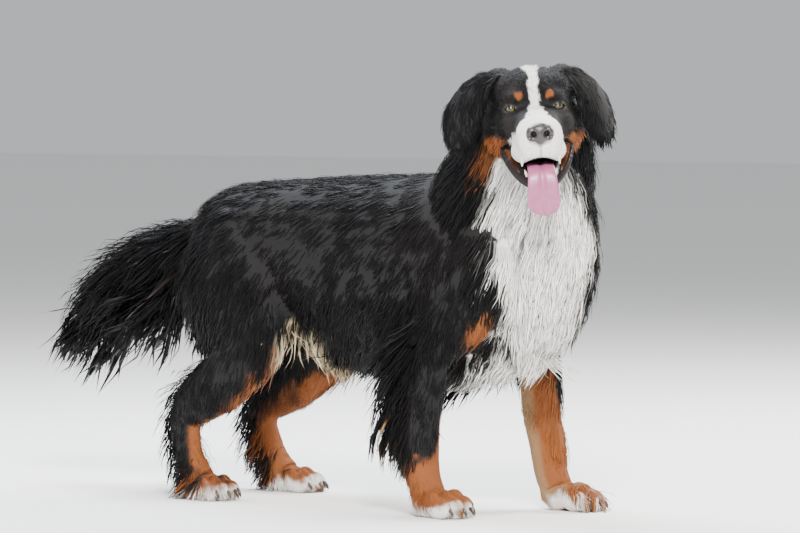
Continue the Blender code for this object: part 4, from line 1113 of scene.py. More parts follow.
body_rows = guide_rows(BODY_GUIDES, Matrix.Identity(4))
head_rows = guide_rows(HEAD_GUIDES, HEAD)
ear_rows = guide_rows(EAR_GUIDES, HEAD)
dress(skin_body, body_colours, body_rows, 0.030,
      lambda points, normals: inside_of(points, skin_head, skin_jaw, skin_paws))
dress(skin_paws, body_colours, body_rows, 0.020, bare_soles)
dress(skin_head, lip_colours, head_rows, 0.012, lambda points, normals: dark_rims(points))
dress(skin_jaw, partial(lip_colours, colours=jaw_colours), head_rows, 0.012,
      lambda points, normals: np.maximum(near_mouth(points), above_lip(points)))
dress(skin_ears, lambda points, normals: np.tile(BLACK, (len(points), 1)), ear_rows, 0.016,
      lambda points, normals: inside_of(points, skin_head))
print("the coat is groomed from", len(body_rows) + len(head_rows) + len(ear_rows), "guides")

# %% [markdown]
# A texture can't be painted on a lock that is thinner than a pixel, so each lock is given one
# small patch of the skin's own unwrap. Smart projection cuts each skin into flat islands for that.

# %% The skins' unwraps
UNWRAP_ANGLE = math.radians(66)


def unwrap(skin):
    skin.data.uv_layers.new(name="skin_uv")
    bpy.ops.object.select_all(action="DESELECT")
    skin.select_set(True)
    bpy.context.view_layer.objects.active = skin
    bpy.ops.object.mode_set(mode="EDIT")
    bpy.ops.mesh.select_all(action="SELECT")
    bpy.ops.uv.smart_project(angle_limit=UNWRAP_ANGLE, island_margin=0.001)
    bpy.ops.object.mode_set(mode="OBJECT")


for skin in SKINS:
    unwrap(skin)
    skin.data.transform(TO_SOLIDS)
print("the skins are unwrapped and stand in the solids' frame")

# %% [markdown]
# ## One lock of hair
# A lock is a thin blade with three sides: two edges and a low ridge, so that it catches the light along
# its middle. It is one unit long, leaves the skin at the origin, bends back towards it and sways a
# little. Each family, from plume to face, has four such locks, bent differently.

# %% Families of locks
# segments, width, thickness, bend back in degrees, sway, all for a length of 1
FAMILIES = {
    "plume_hair": (6, 0.026, 0.005, 20, 0.034),
    "long_hair": (5, 0.036, 0.006, 30, 0.050),
    "coat_hair": (4, 0.052, 0.008, 34, 0.050),
    "short_hair": (3, 0.085, 0.016, 34, 0.040),
    "face_hair": (2, 0.135, 0.030, 34, 0.030),
}
LOCKS_IN_FAMILY = 4
ROOT_DEPTH = 0.08


def lock_mesh(segments, width, thickness, bend, sway, chance):
    """One closed blade along +X, with where each point lies along and across it."""
    bend = math.radians(bend) * chance.uniform(0.8, 1.25)
    phase, swing = chance.uniform(0, math.tau), sway * chance.uniform(0.5, 1.3)
    bm = bmesh.new()
    shape = bm.verts.layers.float_vector.new("lock_shape")
    spot = Vector((-ROOT_DEPTH, 0, -0.3 * ROOT_DEPTH))
    rings = []
    for k in range(segments):
        t = k / segments
        half = 0.5 * width * (0.55 + 1.5 * t - 1.75 * t * t)
        side = swing * (math.sin(phase + 4.2 * t) - math.sin(phase))
        ring = []
        for across, up in ((-1, 0), (1, 0), (0, 1)):
            rise = up * thickness * (1 - 0.6 * t)
            vertex = bm.verts.new(spot + Vector((0, side + across * half, rise)))
            vertex[shape] = (t, across, 0)
            ring.append(vertex)
        rings.append(ring)
        angle = -bend * (t + 0.5 / segments)
        spot = spot + Vector((math.cos(angle), 0, math.sin(angle))) * (1 + ROOT_DEPTH) / segments
    tip = bm.verts.new(spot + Vector((0, swing * (math.sin(phase + 4.2) - math.sin(phase)), 0)))
    tip[shape] = (1, 0, 0)
    bridge(bm, rings, 3)
    for k in range(3):
        bm.faces.new((rings[-1][k], rings[-1][(k + 1) % 3], tip))
    bm.faces.new(rings[0][::-1])
    bmesh.ops.recalc_face_normals(bm, faces=bm.faces)
    return mesh_of(bm, "lock")


def lock_family(name):
    """A collection of a few unlike locks, which isn't in the scene itself."""
    chance = random.Random(name)
    family = bpy.data.collections.new(name)
    for number in range(LOCKS_IN_FAMILY):
        lock = bpy.data.objects.new(f"{name}_{number}", lock_mesh(*FAMILIES[name], chance))
        family.objects.link(lock)
    return family


families = {name: lock_family(name) for name in FAMILIES}
print("made", len(families), "families of locks")

# %% [markdown]
# ## The coat's tree
# One Geometry Nodes tree grows every part of the coat. It scatters roots evenly where the skin bears
# hair, turns each lock along the lie and away from the skin by its lift, and scales it to its length.
# Then, with the locks made real, it draws their tips together into tufts, waves them and lets them hang.

# %% Helpers that make and join nodes
def join(tree, value, socket):
    """Gives a node's input a plain value or the output of another node."""
    if isinstance(value, bpy.types.NodeSocket):
        tree.links.new(value, socket)
    else:
        socket.default_value = value


def add_node(tree, kind, values=None, **settings):
    made = tree.nodes.new(kind)
    for key, value in settings.items():
        setattr(made, key, value)
    for key, value in (values or {}).items():
        join(tree, value, made.inputs[key])
    return made


def vector_math(tree, operation, *values):
    made = add_node(tree, "ShaderNodeVectorMath", dict(enumerate(values)), operation=operation)
    return made.outputs["Value" if operation == "LENGTH" else "Vector"]


def scaled(tree, vector, amount):
    """The vector times a number."""
    values = {0: vector, "Scale": amount}
    return add_node(tree, "ShaderNodeVectorMath", values, operation="SCALE").outputs[0]


def maths(tree, operation, *values):
    return add_node(tree, "ShaderNodeMath", dict(enumerate(values)), operation=operation).outputs[0]


def product(tree, first, *others):
    for other in others:
        first = maths(tree, "MULTIPLY", first, other)
    return first


def split(tree, vector):
    return add_node(tree, "ShaderNodeSeparateXYZ", {0: vector}).outputs


def combined(tree, x=0.0, y=0.0, z=0.0):
    return add_node(tree, "ShaderNodeCombineXYZ", {0: x, 1: y, 2: z}).outputs[0]


def noise(tree, place, scale, detail=2.0):
    return add_node(tree, "ShaderNodeTexNoise", {"Vector": place, "Scale": scale, "Detail": detail}).outputs


def position(tree):
    return add_node(tree, "GeometryNodeInputPosition").outputs[0]


def named(tree, name, kind="FLOAT_VECTOR"):
    return add_node(tree, "GeometryNodeInputNamedAttribute", {"Name": name}, data_type=kind).outputs[0]


def add_sockets(tree, sockets, in_out="INPUT"):
    for name, kind, value in sockets:
        made = tree.interface.new_socket(name, in_out=in_out, socket_type="NodeSocket" + kind)
        if value is not None:
            made.default_value = value


# %% The tree that grows locks
UV_PATCH = 0.003
DRIFT_SCALE = 14.0


def stored(tree, geometry, name, value, domain, kind):
    values = {"Geometry": geometry, "Name": name, "Value": value}
    made = add_node(tree, "GeometryNodeStoreNamedAttribute", values, domain=domain, data_type=kind)
    return made.outputs[0]


def random_number(tree, low, high, seed):
    values = {2: low, 3: high, 8: seed}
    return add_node(tree, "FunctionNodeRandomValue", values, data_type="FLOAT").outputs[1]


def random_vector(tree, reach, seed):
    values = {0: (-reach,) * 3, 1: (reach,) * 3, 8: seed}
    return add_node(tree, "FunctionNodeRandomValue", values, data_type="FLOAT_VECTOR").outputs[0]


def roots_and_tufts(tree, start):
    """Evenly spread roots, and for each the way to the middle of the tuft that it belongs to."""
    cover = named(tree, start["Cover"], "FLOAT")
    bearing = add_node(tree, "FunctionNodeCompare", {0: cover, 1: 0.02}, operation="GREATER_THAN")
    spreads = []
    for spacing in (start["Spacing"], start["Tuft Spacing"]):
        thickest = maths(tree, "DIVIDE", 3.0, product(tree, spacing, spacing))
        values = {"Mesh": start["Geometry"], "Selection": bearing.outputs[0],
                  "Distance Min": spacing, "Density Max": thickest, "Density Factor": cover,
                  "Seed": start["Seed"]}
        spreads.append(add_node(tree, "GeometryNodeDistributePointsOnFaces", values,
                                distribute_method="POISSON").outputs)
    roots, tufts = spreads
    place = position(tree)
    nearest = add_node(tree, "GeometryNodeSampleNearest", {"Geometry": tufts["Points"]}, domain="POINT")
    values = {"Geometry": tufts["Points"], "Value": place, "Index": nearest.outputs[0]}
    middle = add_node(tree, "GeometryNodeSampleIndex", values, data_type="FLOAT_VECTOR", domain="POINT")
    way = vector_math(tree, "SUBTRACT", middle.outputs[0], place)
    # A root beyond the last tuft is drawn no further than one tuft's spacing
    steps = maths(tree, "DIVIDE", vector_math(tree, "LENGTH", way), start["Tuft Spacing"])
    way = scaled(tree, way, maths(tree, "DIVIDE", 1.0, maths(tree, "MAXIMUM", 1.0, steps)))
    return stored(tree, roots["Points"], "to_tuft", way, "POINT", "FLOAT_VECTOR"), roots["Normal"]


def turned_locks(tree, start, points, normal):
    """Locks on the roots, turned along the lie, lifted and scaled."""
    lie, groom = named(tree, "lie"), split(tree, named(tree, "groom"))
    drift = noise(tree, position(tree), DRIFT_SCALE)["Color"]
    drift = vector_math(tree, "SUBTRACT", drift, (0.5, 0.5, 0.5))
    wander = scaled(tree, drift, product(tree, start["Unruliness"], 3.0))
    own = scaled(tree, random_vector(tree, 0.8, 5), start["Unruliness"])
    way = vector_math(tree, "ADD", lie, vector_math(tree, "ADD", wander, own))
    along = vector_math(tree, "SUBTRACT", way, vector_math(tree, "PROJECT", way, normal))
    along = vector_math(tree, "NORMALIZE", along)
    lift = product(tree, groom[1], random_number(tree, 0.6, 1.5, 6))
    raised = vector_math(tree, "ADD", scaled(tree, along, maths(tree, "COSINE", lift)),
                         scaled(tree, normal, maths(tree, "SINE", lift)))
    turn = add_node(tree, "FunctionNodeAxesToRotation", {"Primary Axis": raised, "Secondary Axis": normal},
                    primary_axis="X", secondary_axis="Z").outputs[0]
    length = product(tree, groom[0], random_number(tree, 0.72, 1.18, 7))
    width = product(tree, length, random_number(tree, 0.7, 1.3, 8))
    locks = add_node(tree, "GeometryNodeCollectionInfo",
                     {"Collection": start["Locks"], "Separate Children": True, "Reset Children": True})
    pick = add_node(tree, "FunctionNodeRandomValue", {4: 0, 5: LOCKS_IN_FAMILY - 1, 8: 9}, data_type="INT")
    values = {"Points": points, "Instance": locks.outputs[0], "Pick Instance": True,
              "Instance Index": pick.outputs[2], "Rotation": turn,
              "Scale": combined(tree, length, width, length)}
    made = add_node(tree, "GeometryNodeInstanceOnPoints", values).outputs[0]
    return stored(tree, made, "lock_random", random_number(tree, 0.0, 1.0, 10), "INSTANCE", "FLOAT")


def gathered(tree, start, geometry):
    """The real locks, tips drawn to their tuft and hanging, each on its own patch of the unwrap."""
    along, across, _ = split(tree, named(tree, "lock_shape"))
    length, _, hang = split(tree, named(tree, "groom"))
    pull = product(tree, maths(tree, "POWER", along, 1.4), start["Gather"])
    inwards = scaled(tree, named(tree, "to_tuft"), pull)
    waves = noise(tree, position(tree), start["Wave Scale"])["Color"]
    reach = product(tree, length, along, start["Wave"])
    wave = scaled(tree, vector_math(tree, "SUBTRACT", waves, (0.5, 0.5, 0.5)), reach)
    inwards = vector_math(tree, "ADD", inwards, wave)
    drop = product(tree, product(tree, length, hang), product(tree, along, along))
    down = combined(tree, z=product(tree, drop, -1.0))
    moved = add_node(tree, "GeometryNodeSetPosition",
                     {"Geometry": geometry, "Offset": vector_math(tree, "ADD", inwards, down)}).outputs[0]
    patch = combined(tree, product(tree, maths(tree, "SUBTRACT", along, 0.5), UV_PATCH),
                     product(tree, across, UV_PATCH / 2))
    spot = vector_math(tree, "ADD", named(tree, "skin_uv"), patch)
    return stored(tree, moved, "OFBake", spot, "CORNER", "FLOAT2")


def coat_tree():
    tree = bpy.data.node_groups.new("locks on a skin", "GeometryNodeTree")
    add_sockets(tree, [("Geometry", "Geometry", None), ("Cover", "String", None),
                       ("Spacing", "Float", 0.005), ("Tuft Spacing", "Float", 0.02),
                       ("Gather", "Float", 0.5), ("Unruliness", "Float", 0.15),
                       ("Wave", "Float", 0.4), ("Wave Scale", "Float", 34.0), ("Seed", "Int", 1),
                       ("Locks", "Collection", None), ("Hair", "Material", None)])
    add_sockets(tree, [("Geometry", "Geometry", None)], "OUTPUT")
    start = tree.nodes.new("NodeGroupInput").outputs
    points, normal = roots_and_tufts(tree, start)
    locks = turned_locks(tree, start, points, normal)
    real = add_node(tree, "GeometryNodeRealizeInstances", {"Geometry": locks}).outputs[0]
    placed = gathered(tree, start, real)
    clad = add_node(tree, "GeometryNodeSetMaterial", {"Geometry": placed, "Material": start["Hair"]})
    add_node(tree, "NodeGroupOutput", {0: clad.outputs[0]})
    return tree


COAT_TREE = coat_tree()
print("the coat's tree has", len(COAT_TREE.nodes), "nodes")

# %% [markdown]
# ## What hair looks like
# Hair colour isn't even. Each lock has its own tone and fine streaks run along it, and it is darker at the
# root, a painted shade where the lock lies deep among the others. A shader group makes the tone, with that
# root shade, and the streaks' height from where a point lies along and across its lock, and every hairy
# finish uses it with its own numbers.

# %% The shader group for fine streaks
def remap(tree, value, low, high, to_low=0.0, to_high=1.0):
    values = {0: value, 1: low, 2: high, 3: to_low, 4: to_high}
    return add_node(tree, "ShaderNodeMapRange", values).outputs[0]


def blend(tree, share, low, high):
    return add_node(tree, "ShaderNodeMix", {0: share, 6: low, 7: high}, data_type="RGBA").outputs[2]


def object_place(tree):
    return add_node(tree, "ShaderNodeTexCoord").outputs["Object"]


def streak_group():
    tree = bpy.data.node_groups.new("fine streaks", "ShaderNodeTree")
    add_sockets(tree, [("Along", "Float", 0.0), ("Across", "Float", 0.0), ("Random", "Float", 0.0),
                       ("Streaks", "Float", 5.0), ("Contrast", "Float", 0.5), ("Root Shade", "Float", 0.6)])
    add_sockets(tree, [("Tone", "Float", None), ("Height", "Float", None)], "OUTPUT")
    start = tree.nodes.new("NodeGroupInput").outputs
    spot = combined(tree, product(tree, start["Across"], start["Streaks"]), start["Along"],
                    product(tree, start["Random"], 57.0))
    streaks = noise(tree, spot, 1.0)[0]
    swing = product(tree, maths(tree, "SUBTRACT", streaks, 0.5), start["Contrast"])
    own = product(tree, maths(tree, "SUBTRACT", start["Random"], 0.5), start["Contrast"])
    # painted shade: a lock is darker towards its root, where it lies among the other locks
    root = remap(tree, start["Along"], 0.0, 0.6, start["Root Shade"], 1.0)
    tone = maths(tree, "ADD", maths(tree, "ADD", 1.0, product(tree, swing, 2.0)), own)
    add_node(tree, "NodeGroupOutput", {"Tone": product(tree, tone, root), "Height": streaks})
    return tree


STREAKS = streak_group()


def attribute(tree, name, output="Fac"):
    made = add_node(tree, "ShaderNodeAttribute", attribute_name=name, attribute_type="GEOMETRY")
    return made.outputs[output]


def roughen(tree, shader, height, strength, distance, **settings):
    """Bump of this height in metres on the shader."""
    values = {"Strength": strength, "Distance": distance, "Height": height}
    bump = add_node(tree, "ShaderNodeBump", values, **settings)
    tree.links.new(bump.outputs[0], shader.inputs["Normal"])


def patchy_finish(name, dark, pale, scale, detail, **values):
    """A material of two tones that drift over the surface, with what later steps need to go on."""
    made, tree, shader = new_finish(name, **values)
    place = object_place(tree)
    patches = noise(tree, place, scale, detail)[0]
    colour = blend(tree, patches, (*dark, 1), (*pale, 1))
    tree.links.new(colour, shader.inputs["Base Color"])
    return made, tree, shader, place, patches, colour


def hair_finish(name, roughness, contrast, root_shade, streaks, height):
    made, tree, shader = new_finish(name, Roughness=roughness, Specular_IOR_Level=0.13)
    along, across, _ = split(tree, attribute(tree, "lock_shape", "Vector"))
    values = {"Along": along, "Across": across, "Random": attribute(tree, "lock_random"),
              "Streaks": streaks, "Contrast": contrast, "Root Shade": root_shade}
    group = add_node(tree, "ShaderNodeGroup", node_tree=STREAKS)
    for key, value in values.items():
        join(tree, value, group.inputs[key])
    colour = scaled(tree, attribute(tree, "coat_colour", "Color"), group.outputs["Tone"])
    tree.links.new(colour, shader.inputs["Base Color"])
    roughen(tree, shader, group.outputs["Height"], 0.35, height)
    return made


# the fourth number is how dark the painted root shade leaves the root
HAIR = hair_finish("long_coat", 0.46, 0.34, 0.72, 3.0, 0.0004)
SHORT_HAIR = hair_finish("short_coat", 0.52, 0.45, 0.78, 2.0, 0.0002)

# %% [markdown]
# Between the locks the skin itself shows as undercoat, in the same markings but darker and duller, with
# a fine bump for the short hair that isn't modelled. Bare lips and lids are smooth and wet instead.

# %% The skin's finish
def skin_finish():
    made, tree, shader = new_finish("undercoat", Specular_IOR_Level=0.3)
    grain = noise(tree, object_place(tree), 900.0, 3.0)[0]
    tone = remap(tree, grain, 0.3, 0.7, 0.55, 0.95)
    tree.links.new(scaled(tree, attribute(tree, "coat_colour", "Color"), tone), shader.inputs["Base Color"])
    tree.links.new(remap(tree, attribute(tree, "furred"), 0.0, 1.0, 0.28, 0.8), shader.inputs["Roughness"])
    roughen(tree, shader, grain, 0.4, 0.0006)
    return made


def finished(obj, finish):
    obj.data.materials.clear()
    obj.data.materials.append(finish)
    obj.data.shade_smooth()
    return obj


UNDERCOAT = skin_finish()
for skin in SKINS:
    finished(skin, UNDERCOAT)

# %% [markdown]
# ## Growing the coat
# The coat is grown in pieces, so that none gets too heavy. Each piece has a rule that says which part of
# a skin it covers. Long locks are fewer and wider, and the face has thousands of very small ones.

# %% Growing one piece
FLOOR_GAP = 0.0008
# Fur may stand proud of the solids' box by a small share of each side
BOX_LOW, BOX_HIGH = np.array(cad_box)
REACH = 0.024 * (BOX_HIGH - BOX_LOW) + 0.008
REACH_LOW, REACH_HIGH = BOX_LOW - REACH, BOX_HIGH + REACH


def inputs_of(tree):
    return {item.name: item.identifier for item in tree.interface.items_tree
            if item.item_type == "SOCKET" and item.in_out == "INPUT"}


def grow(name, skin, where, family, spacing, tuft_spacing, gather, unruliness, hair=HAIR):
    """Locks on the part of the skin where the rule is true, as one plain mesh."""
    mesh = skin.data
    points = points_of(mesh) - np.array(SHIFT)
    furred = numbers_of(mesh.attributes["furred"].data, "value", 1)[:, 0]
    lengths = numbers_of(mesh.attributes["groom"].data, "vector", 3)[:, 0]
    store(mesh, "cover", "FLOAT", furred * where(*points.T, lengths))
    carrier = add_object(name, mesh)
    step = carrier.modifiers.new("Locks", "NODES")
    step.node_group = COAT_TREE
    values = {"Cover": "cover", "Spacing": spacing, "Tuft Spacing": tuft_spacing, "Gather": gather,
              "Unruliness": unruliness, "Locks": families[family], "Hair": hair}
    for key, value in values.items():
        step[inputs_of(COAT_TREE)[key]] = value
    applied(carrier)
    mesh.attributes.remove(mesh.attributes["cover"])
    coat = carrier.data
    for scratch in ("cover", "to_tuft", "lie", "groom", "furred", "skin_uv"):
        if scratch in coat.attributes:
            coat.attributes.remove(coat.attributes[scratch])
    tips = np.clip(points_of(coat), REACH_LOW, REACH_HIGH)
    tips[:, 2] = np.maximum(tips[:, 2], FLOOR_GAP)
    move_points(coat, tips)
    coat.shade_smooth()
    triangles = sum(len(polygon.vertices) - 2 for polygon in coat.polygons)
    print(name, "has", triangles, "triangles")
    coats.append(carrier)
    return triangles


# %% Every piece of the coat
LONG, SHORT = 0.068, 0.030
coats = []


def tail_line(z):
    """How far back the tail's coat begins, lower down further back."""
    return -0.47 - 0.6 * (0.52 - z).clip(0)


# name, skin, rule of place and length, family, spacing, tuft spacing, gather, unruliness
PIECES = [
    ("coat_tail", skin_body, lambda x, y, z, size: x < tail_line(z),
     "plume_hair", 0.0036, 0.018, 0.13, 0.06),
    ("coat_ruff", skin_body, lambda x, y, z, size: (x > 0.20) & (z > 0.46) & (size > LONG),
     "long_hair", 0.0041, 0.016, 0.14, 0.11),
    ("coat_chest", skin_body, lambda x, y, z, size: (x > 0.20) & (z <= 0.46) & (size > LONG),
     "long_hair", 0.0039, 0.016, 0.13, 0.11),
    ("coat_underline", skin_body, lambda x, y, z, size: (x > -0.34) & (x <= 0.20) & (size > LONG),
     "long_hair", 0.0041, 0.016, 0.14, 0.10),
    ("coat_breeches", skin_body, lambda x, y, z, size: (x > -0.56) & (x <= -0.34) & (size > LONG),
     "long_hair", 0.0042, 0.016, 0.16, 0.11),
]
MIDDLE_COAT = ("coat_hair", 0.0044, 0.018, 0.28, 0.15)
for side_name, of_side in (("left", 1), ("right", -1)):
    for part, x_low, x_high in (("front", 0.10, 1.0), ("middle", -0.17, 0.10), ("rear", -1.0, -0.17)):
        rule = (lambda x, y, z, size, s=of_side, a=x_low, b=x_high:
                (s * y >= 0) & (x > a) & (x <= b) & (size <= LONG) & (size > SHORT)
                & (x > tail_line(z)))
        PIECES.append((f"coat_{part}_{side_name}", skin_body, rule, *MIDDLE_COAT))
SHORT_PIECES = [
    ("coat_lower_legs", skin_body, lambda x, y, z, size: size <= SHORT,
     "short_hair", 0.0033, 0.010, 0.25, 0.15),
    ("coat_paws", skin_paws, lambda x, y, z, size: z < 1, "short_hair", 0.0034, 0.010, 0.20, 0.12),
    ("coat_face", skin_head, lambda x, y, z, size: size <= 0.0125, "face_hair", 0.0017, 0.006, 0.15, 0.12),
    ("coat_head", skin_head, lambda x, y, z, size: size > 0.0125, "short_hair", 0.0026, 0.010, 0.25, 0.16),
    ("coat_jaw", skin_jaw, lambda x, y, z, size: size <= 1, "short_hair", 0.0026, 0.009, 0.25, 0.15),
    ("coat_ears", skin_ears, lambda x, y, z, size: size <= 1, "short_hair", 0.0026, 0.012, 0.30, 0.16),
]
total = sum(grow(*piece) for piece in PIECES)
total += sum(grow(*piece, hair=SHORT_HAIR) for piece in SHORT_PIECES)
print("the coat has", total, "triangles in", len(coats), "pieces")

# %% [markdown]
# ## Eyes, nose, tongue, claws
# The eye is one ball whose points know where they lie in the eye's own frame. The shader reads that to
# draw a black pupil, an amber iris with fine spokes and a dark rim. The iris is amber made darker, the
# darkening a painted shade from the brows. A clear coat makes it wet.

# %% The eyes
IRIS_RADIUS = 0.0078
PUPIL_RADIUS = 0.0037


def eye_finish():
    made, tree, shader = new_finish("amber_eye", Roughness=0.12, Coat_Weight=0.6, Coat_Roughness=0.03,
                                    Specular_IOR_Level=0.6)
    _, out, up = split(tree, attribute(tree, "eye_place", "Vector"))
    away = maths(tree, "SQRT", maths(tree, "ADD", product(tree, out, out), product(tree, up, up)))
    angle = maths(tree, "ARCTAN2", out, up)
    spokes = noise(tree, combined(tree, product(tree, angle, 9.0), product(tree, away, 300.0)), 1.6, 3.0)[0]
    # painted shade: both iris tones are darker than the amber itself, for the brows' shade over the eyes
    colour = blend(tree, spokes, (0.040, 0.032, 0.007, 1), (0.19, 0.155, 0.040, 1))
    rim = remap(tree, away, IRIS_RADIUS * 0.82, IRIS_RADIUS)
    colour = blend(tree, rim, colour, (0.020, 0.012, 0.010, 1))
    hole = remap(tree, away, PUPIL_RADIUS * 0.92, PUPIL_RADIUS)
    colour = blend(tree, hole, (0.001, 0.001, 0.001, 1), colour)
    tree.links.new(colour, shader.inputs["Base Color"])
    return made


def add_eye(side, name, finish):
    """The eyeball with the low bulge of its cornea."""
    mesh = ball((0, 0, 0), (EYE_RADIUS - SOCKET,) * 3, Matrix.Rotation(math.pi / 2, 4, "Y"), 64, 40)
    points = points_of(mesh)
    away = np.hypot(points[:, 1], points[:, 2])
    ahead = (points[:, 0] > 0) & (away < IRIS_RADIUS)
    points[:, 0] += np.where(ahead, 0.0009 * (1 - (away / IRIS_RADIUS) ** 2), 0)
    move_points(mesh, points)
    store(mesh, "eye_place", "FLOAT_VECTOR", points)
    mesh.transform(TO_SOLIDS @ HEAD @ eye_place(side))
    return finished(add_object(name, mesh), finish)


amber_eye = eye_finish()
eyes = {name: add_eye(side, name + "ball", amber_eye)
        for side, name in ((1, "left_eye"), (-1, "right_eye"))}

# %% [markdown]
# Nose leather is pebbled like orange peel and slightly wet. The nostrils are pressed into the melted form:
# a deep round hole on each side, and the slit that runs out of it and back. The holes are painted near
# black, a painted shade deep inside them.

# %% The nose
NOSE_AT = Vector((0.111, 0, -0.0375))
NOSE_VOXEL = 0.0009


def nose_side(side):
    return [ball(NOSE_AT + Vector((0.001, side * 0.0155, -0.001)), (0.0115, 0.0105, 0.0145))]


def leather_finish():
    made, tree, shader, place, _, colour = patchy_finish(
        "nose_leather", (0.010, 0.008, 0.0085), (0.034, 0.026, 0.026), 70.0, 3.0,
        Roughness=0.36, Coat_Weight=0.25, Coat_Roughness=0.3)
    # painted shade: inside the nostrils the leather is darkened to near black
    colour = blend(tree, attribute(tree, "nostril_shade"), colour, (0.002, 0.0015, 0.0015, 1))
    tree.links.new(colour, shader.inputs["Base Color"])
    pebbles = add_node(tree, "ShaderNodeTexVoronoi", {"Vector": place, "Scale": 780.0}).outputs["Distance"]
    roughen(tree, shader, pebbles, 0.5, 0.0005, invert=True)
    return made


def add_nose():
    blocks = [
        ball(NOSE_AT, (0.0145, 0.0225, 0.0185)),
        ball(NOSE_AT + Vector((-0.003, 0, -0.013)), (0.012, 0.0100, 0.009)),
    ] + mirrored(nose_side)
    nose = fused("nose_leather_form", blocks, NOSE_VOXEL, 10)
    for side in (1, -1):
        press(nose, NOSE_AT + Vector((0.013, side * 0.0120, -0.002)), 0.0052, (-0.0110, 0, 0.0010))
        press(nose, NOSE_AT + Vector((0.009, side * 0.0205, -0.007)), 0.0036, (-0.0050, -side * 0.0042, 0))
    press(nose, NOSE_AT + Vector((0.016, 0, -0.008)), 0.0026, (-0.0016, 0, 0))
    points = points_of(nose.data)
    # where the painted shade of each nostril's hole lies
    hole_shade = np.zeros(len(points))
    for side in (1, -1):
        centre = np.array(NOSE_AT + Vector((0.001, side * 0.0120, -0.002)))
        away = np.linalg.norm((points - centre) * np.array((0.8, 1.0, 1.0)), axis=1)
        hole_shade = np.maximum(hole_shade, soft(0.0078 - away, 0.0012))
    store(nose.data, "nostril_shade", "FLOAT", hole_shade)
    nose.data.transform(TO_SOLIDS @ HEAD)
    return finished(nose, leather_finish())


nose = add_nose()

# %% [markdown]
# The tongue hangs out over the lower teeth, wide and flat, with a groove down its middle and edges that
# curl forward a little. Its flesh is pink with a lilac cast and finely pimpled.

# %% The tongue
TONGUE = [
    (0.000, 0, -0.104, 0.022, 0.0060),
    (0.045, 0, -0.102, 0.024, 0.0065),
    (0.076, 0, -0.104, 0.025, 0.0060),
    (0.094, 0, -0.116, 0.026, 0.0055),
    (0.101, 0.000, -0.138, 0.028, 0.0050),
    (0.100, 0.000, -0.162, 0.030, 0.0048),
    (0.097, 0.001, -0.180, 0.026, 0.0042),
    (0.095, 0.001, -0.188, 0.015, 0.0034),
    (0.094, 0.001, -0.191, 0.004, 0.0015),
]
GROOVE_WIDTH, GROOVE_DEPTH = 0.0042, 0.0034
TONGUE_BEND, CURL = 0.085, 5.0


def flesh_finish():
    made, tree, shader, place, _, _ = patchy_finish(
        "tongue_flesh", (0.23, 0.045, 0.115), (0.42, 0.125, 0.25), 60.0, 4.0,
        Roughness=0.40, Subsurface_Weight=0.20, Subsurface_Radius=(0.006, 0.002, 0.002),
        Coat_Weight=0.20, Coat_Roughness=0.25)
    pimples = add_node(tree, "ShaderNodeTexVoronoi", {"Vector": place, "Scale": 900.0}).outputs["Distance"]
    roughen(tree, shader, pimples, 0.35, 0.0004, invert=True)
    return made


def add_tongue():
    mesh = loft(TONGUE, 48, 10)
    points, normals = points_of(mesh), normals_of(mesh)
    upper = np.clip(np.maximum(normals[:, 0] * (points[:, 0] > TONGUE_BEND), normals[:, 2]), 0, 1)
    groove = GROOVE_DEPTH * np.exp(-(points[:, 1] / GROOVE_WIDTH) ** 2)
    points -= normals * (groove * upper)[:, None]
    points[:, 0] += CURL * points[:, 1] ** 2 * soft(points[:, 0] - TONGUE_BEND, 0.02)
    move_points(mesh, points)
    mesh.transform(TO_SOLIDS @ HEAD)
    return finished(add_object("tongue_form", mesh), flesh_finish())


tongue = add_tongue()

# %% [markdown]
# The lower lip is a dark, wet roll that runs from one corner of the mouth round the chin to the other. It
# is swept along a few measured places, and its edge is scalloped near the corners, as in most dogs.

# %% The lower lip
LIP_THICK, LIP_WIDE, LIP_VOXEL = 0.0040, 0.0090, 0.0016
SCALLOPS, SCALLOP_DEPTH, LIP_REACH = 34, 0.0011, 0.12


def lip_mesh(side):
    """Half of the lip, swept from the corner to the middle of the chin."""
    stations = []
    for k, (x, y, z) in enumerate(LIP_LINE):
        share = min(1.0, 0.35 + 0.4 * k)
        stations.append((x, side * y, z, LIP_WIDE * share, LIP_THICK * share))
    mesh = loft(stations, 16, 8, across=(0.35, 0, 0.94))
    points = points_of(mesh)
    along = points[:, 0] - LIP_LINE[0][0]
    ribs = np.sin(along * math.tau * SCALLOPS / LIP_REACH) * soft(0.075 - along, 0.02)
    points[:, 1] += side * SCALLOP_DEPTH * ribs
    move_points(mesh, points)
    return mesh


def wet_finish():
    made, tree, shader, _, patches, _ = patchy_finish(
        "wet_lip", (0.003, 0.0024, 0.0026), (0.014, 0.007, 0.008), 110.0, 3.0, Specular_IOR_Level=0.16)
    tree.links.new(remap(tree, patches, 0.0, 1.0, 0.36, 0.60), shader.inputs["Roughness"])
    roughen(tree, shader, patches, 0.4, 0.0006)
    return made


lips = fused("lower_lip", [lip_mesh(1), lip_mesh(-1)], LIP_VOXEL, 3)
lips.data.transform(TO_SOLIDS @ HEAD)
finished(lips, wet_finish())

# %% [markdown]
# Four canine teeth show as cream tips beside the tongue, and stiff whiskers stand out of the muzzle. A
# tooth is a short bent cone; a whisker is a hair's width of one, many times as long.

# %% Teeth and whiskers
# Root and tip of each tooth on the dog's left, and its half size at the root
TEETH = [
    ((0.080, 0.0335, -0.084), (0.084, 0.0350, -0.0995), 0.0036),
    ((0.068, 0.0250, -0.122), (0.073, 0.0300, -0.107), 0.0034),
]
WHISKER_ROWS, WHISKERS_IN_ROW = 3, 2
WHISKER_HALF = 0.00013


def cone(points, half, sides, per_span):
    stations = [(*point, half * share, half * share) for point, share in points]
    return loft(stations, sides, per_span, across=(0.6, 0.2, 0.8))


def tooth(side, root, tip, half):
    root, tip = (Vector((x, side * y, z)) for x, y, z in (root, tip))
    return cone([(root, 1), (root.lerp(tip, 0.5), 0.78), (tip, 0.15)], half, 12, 4)


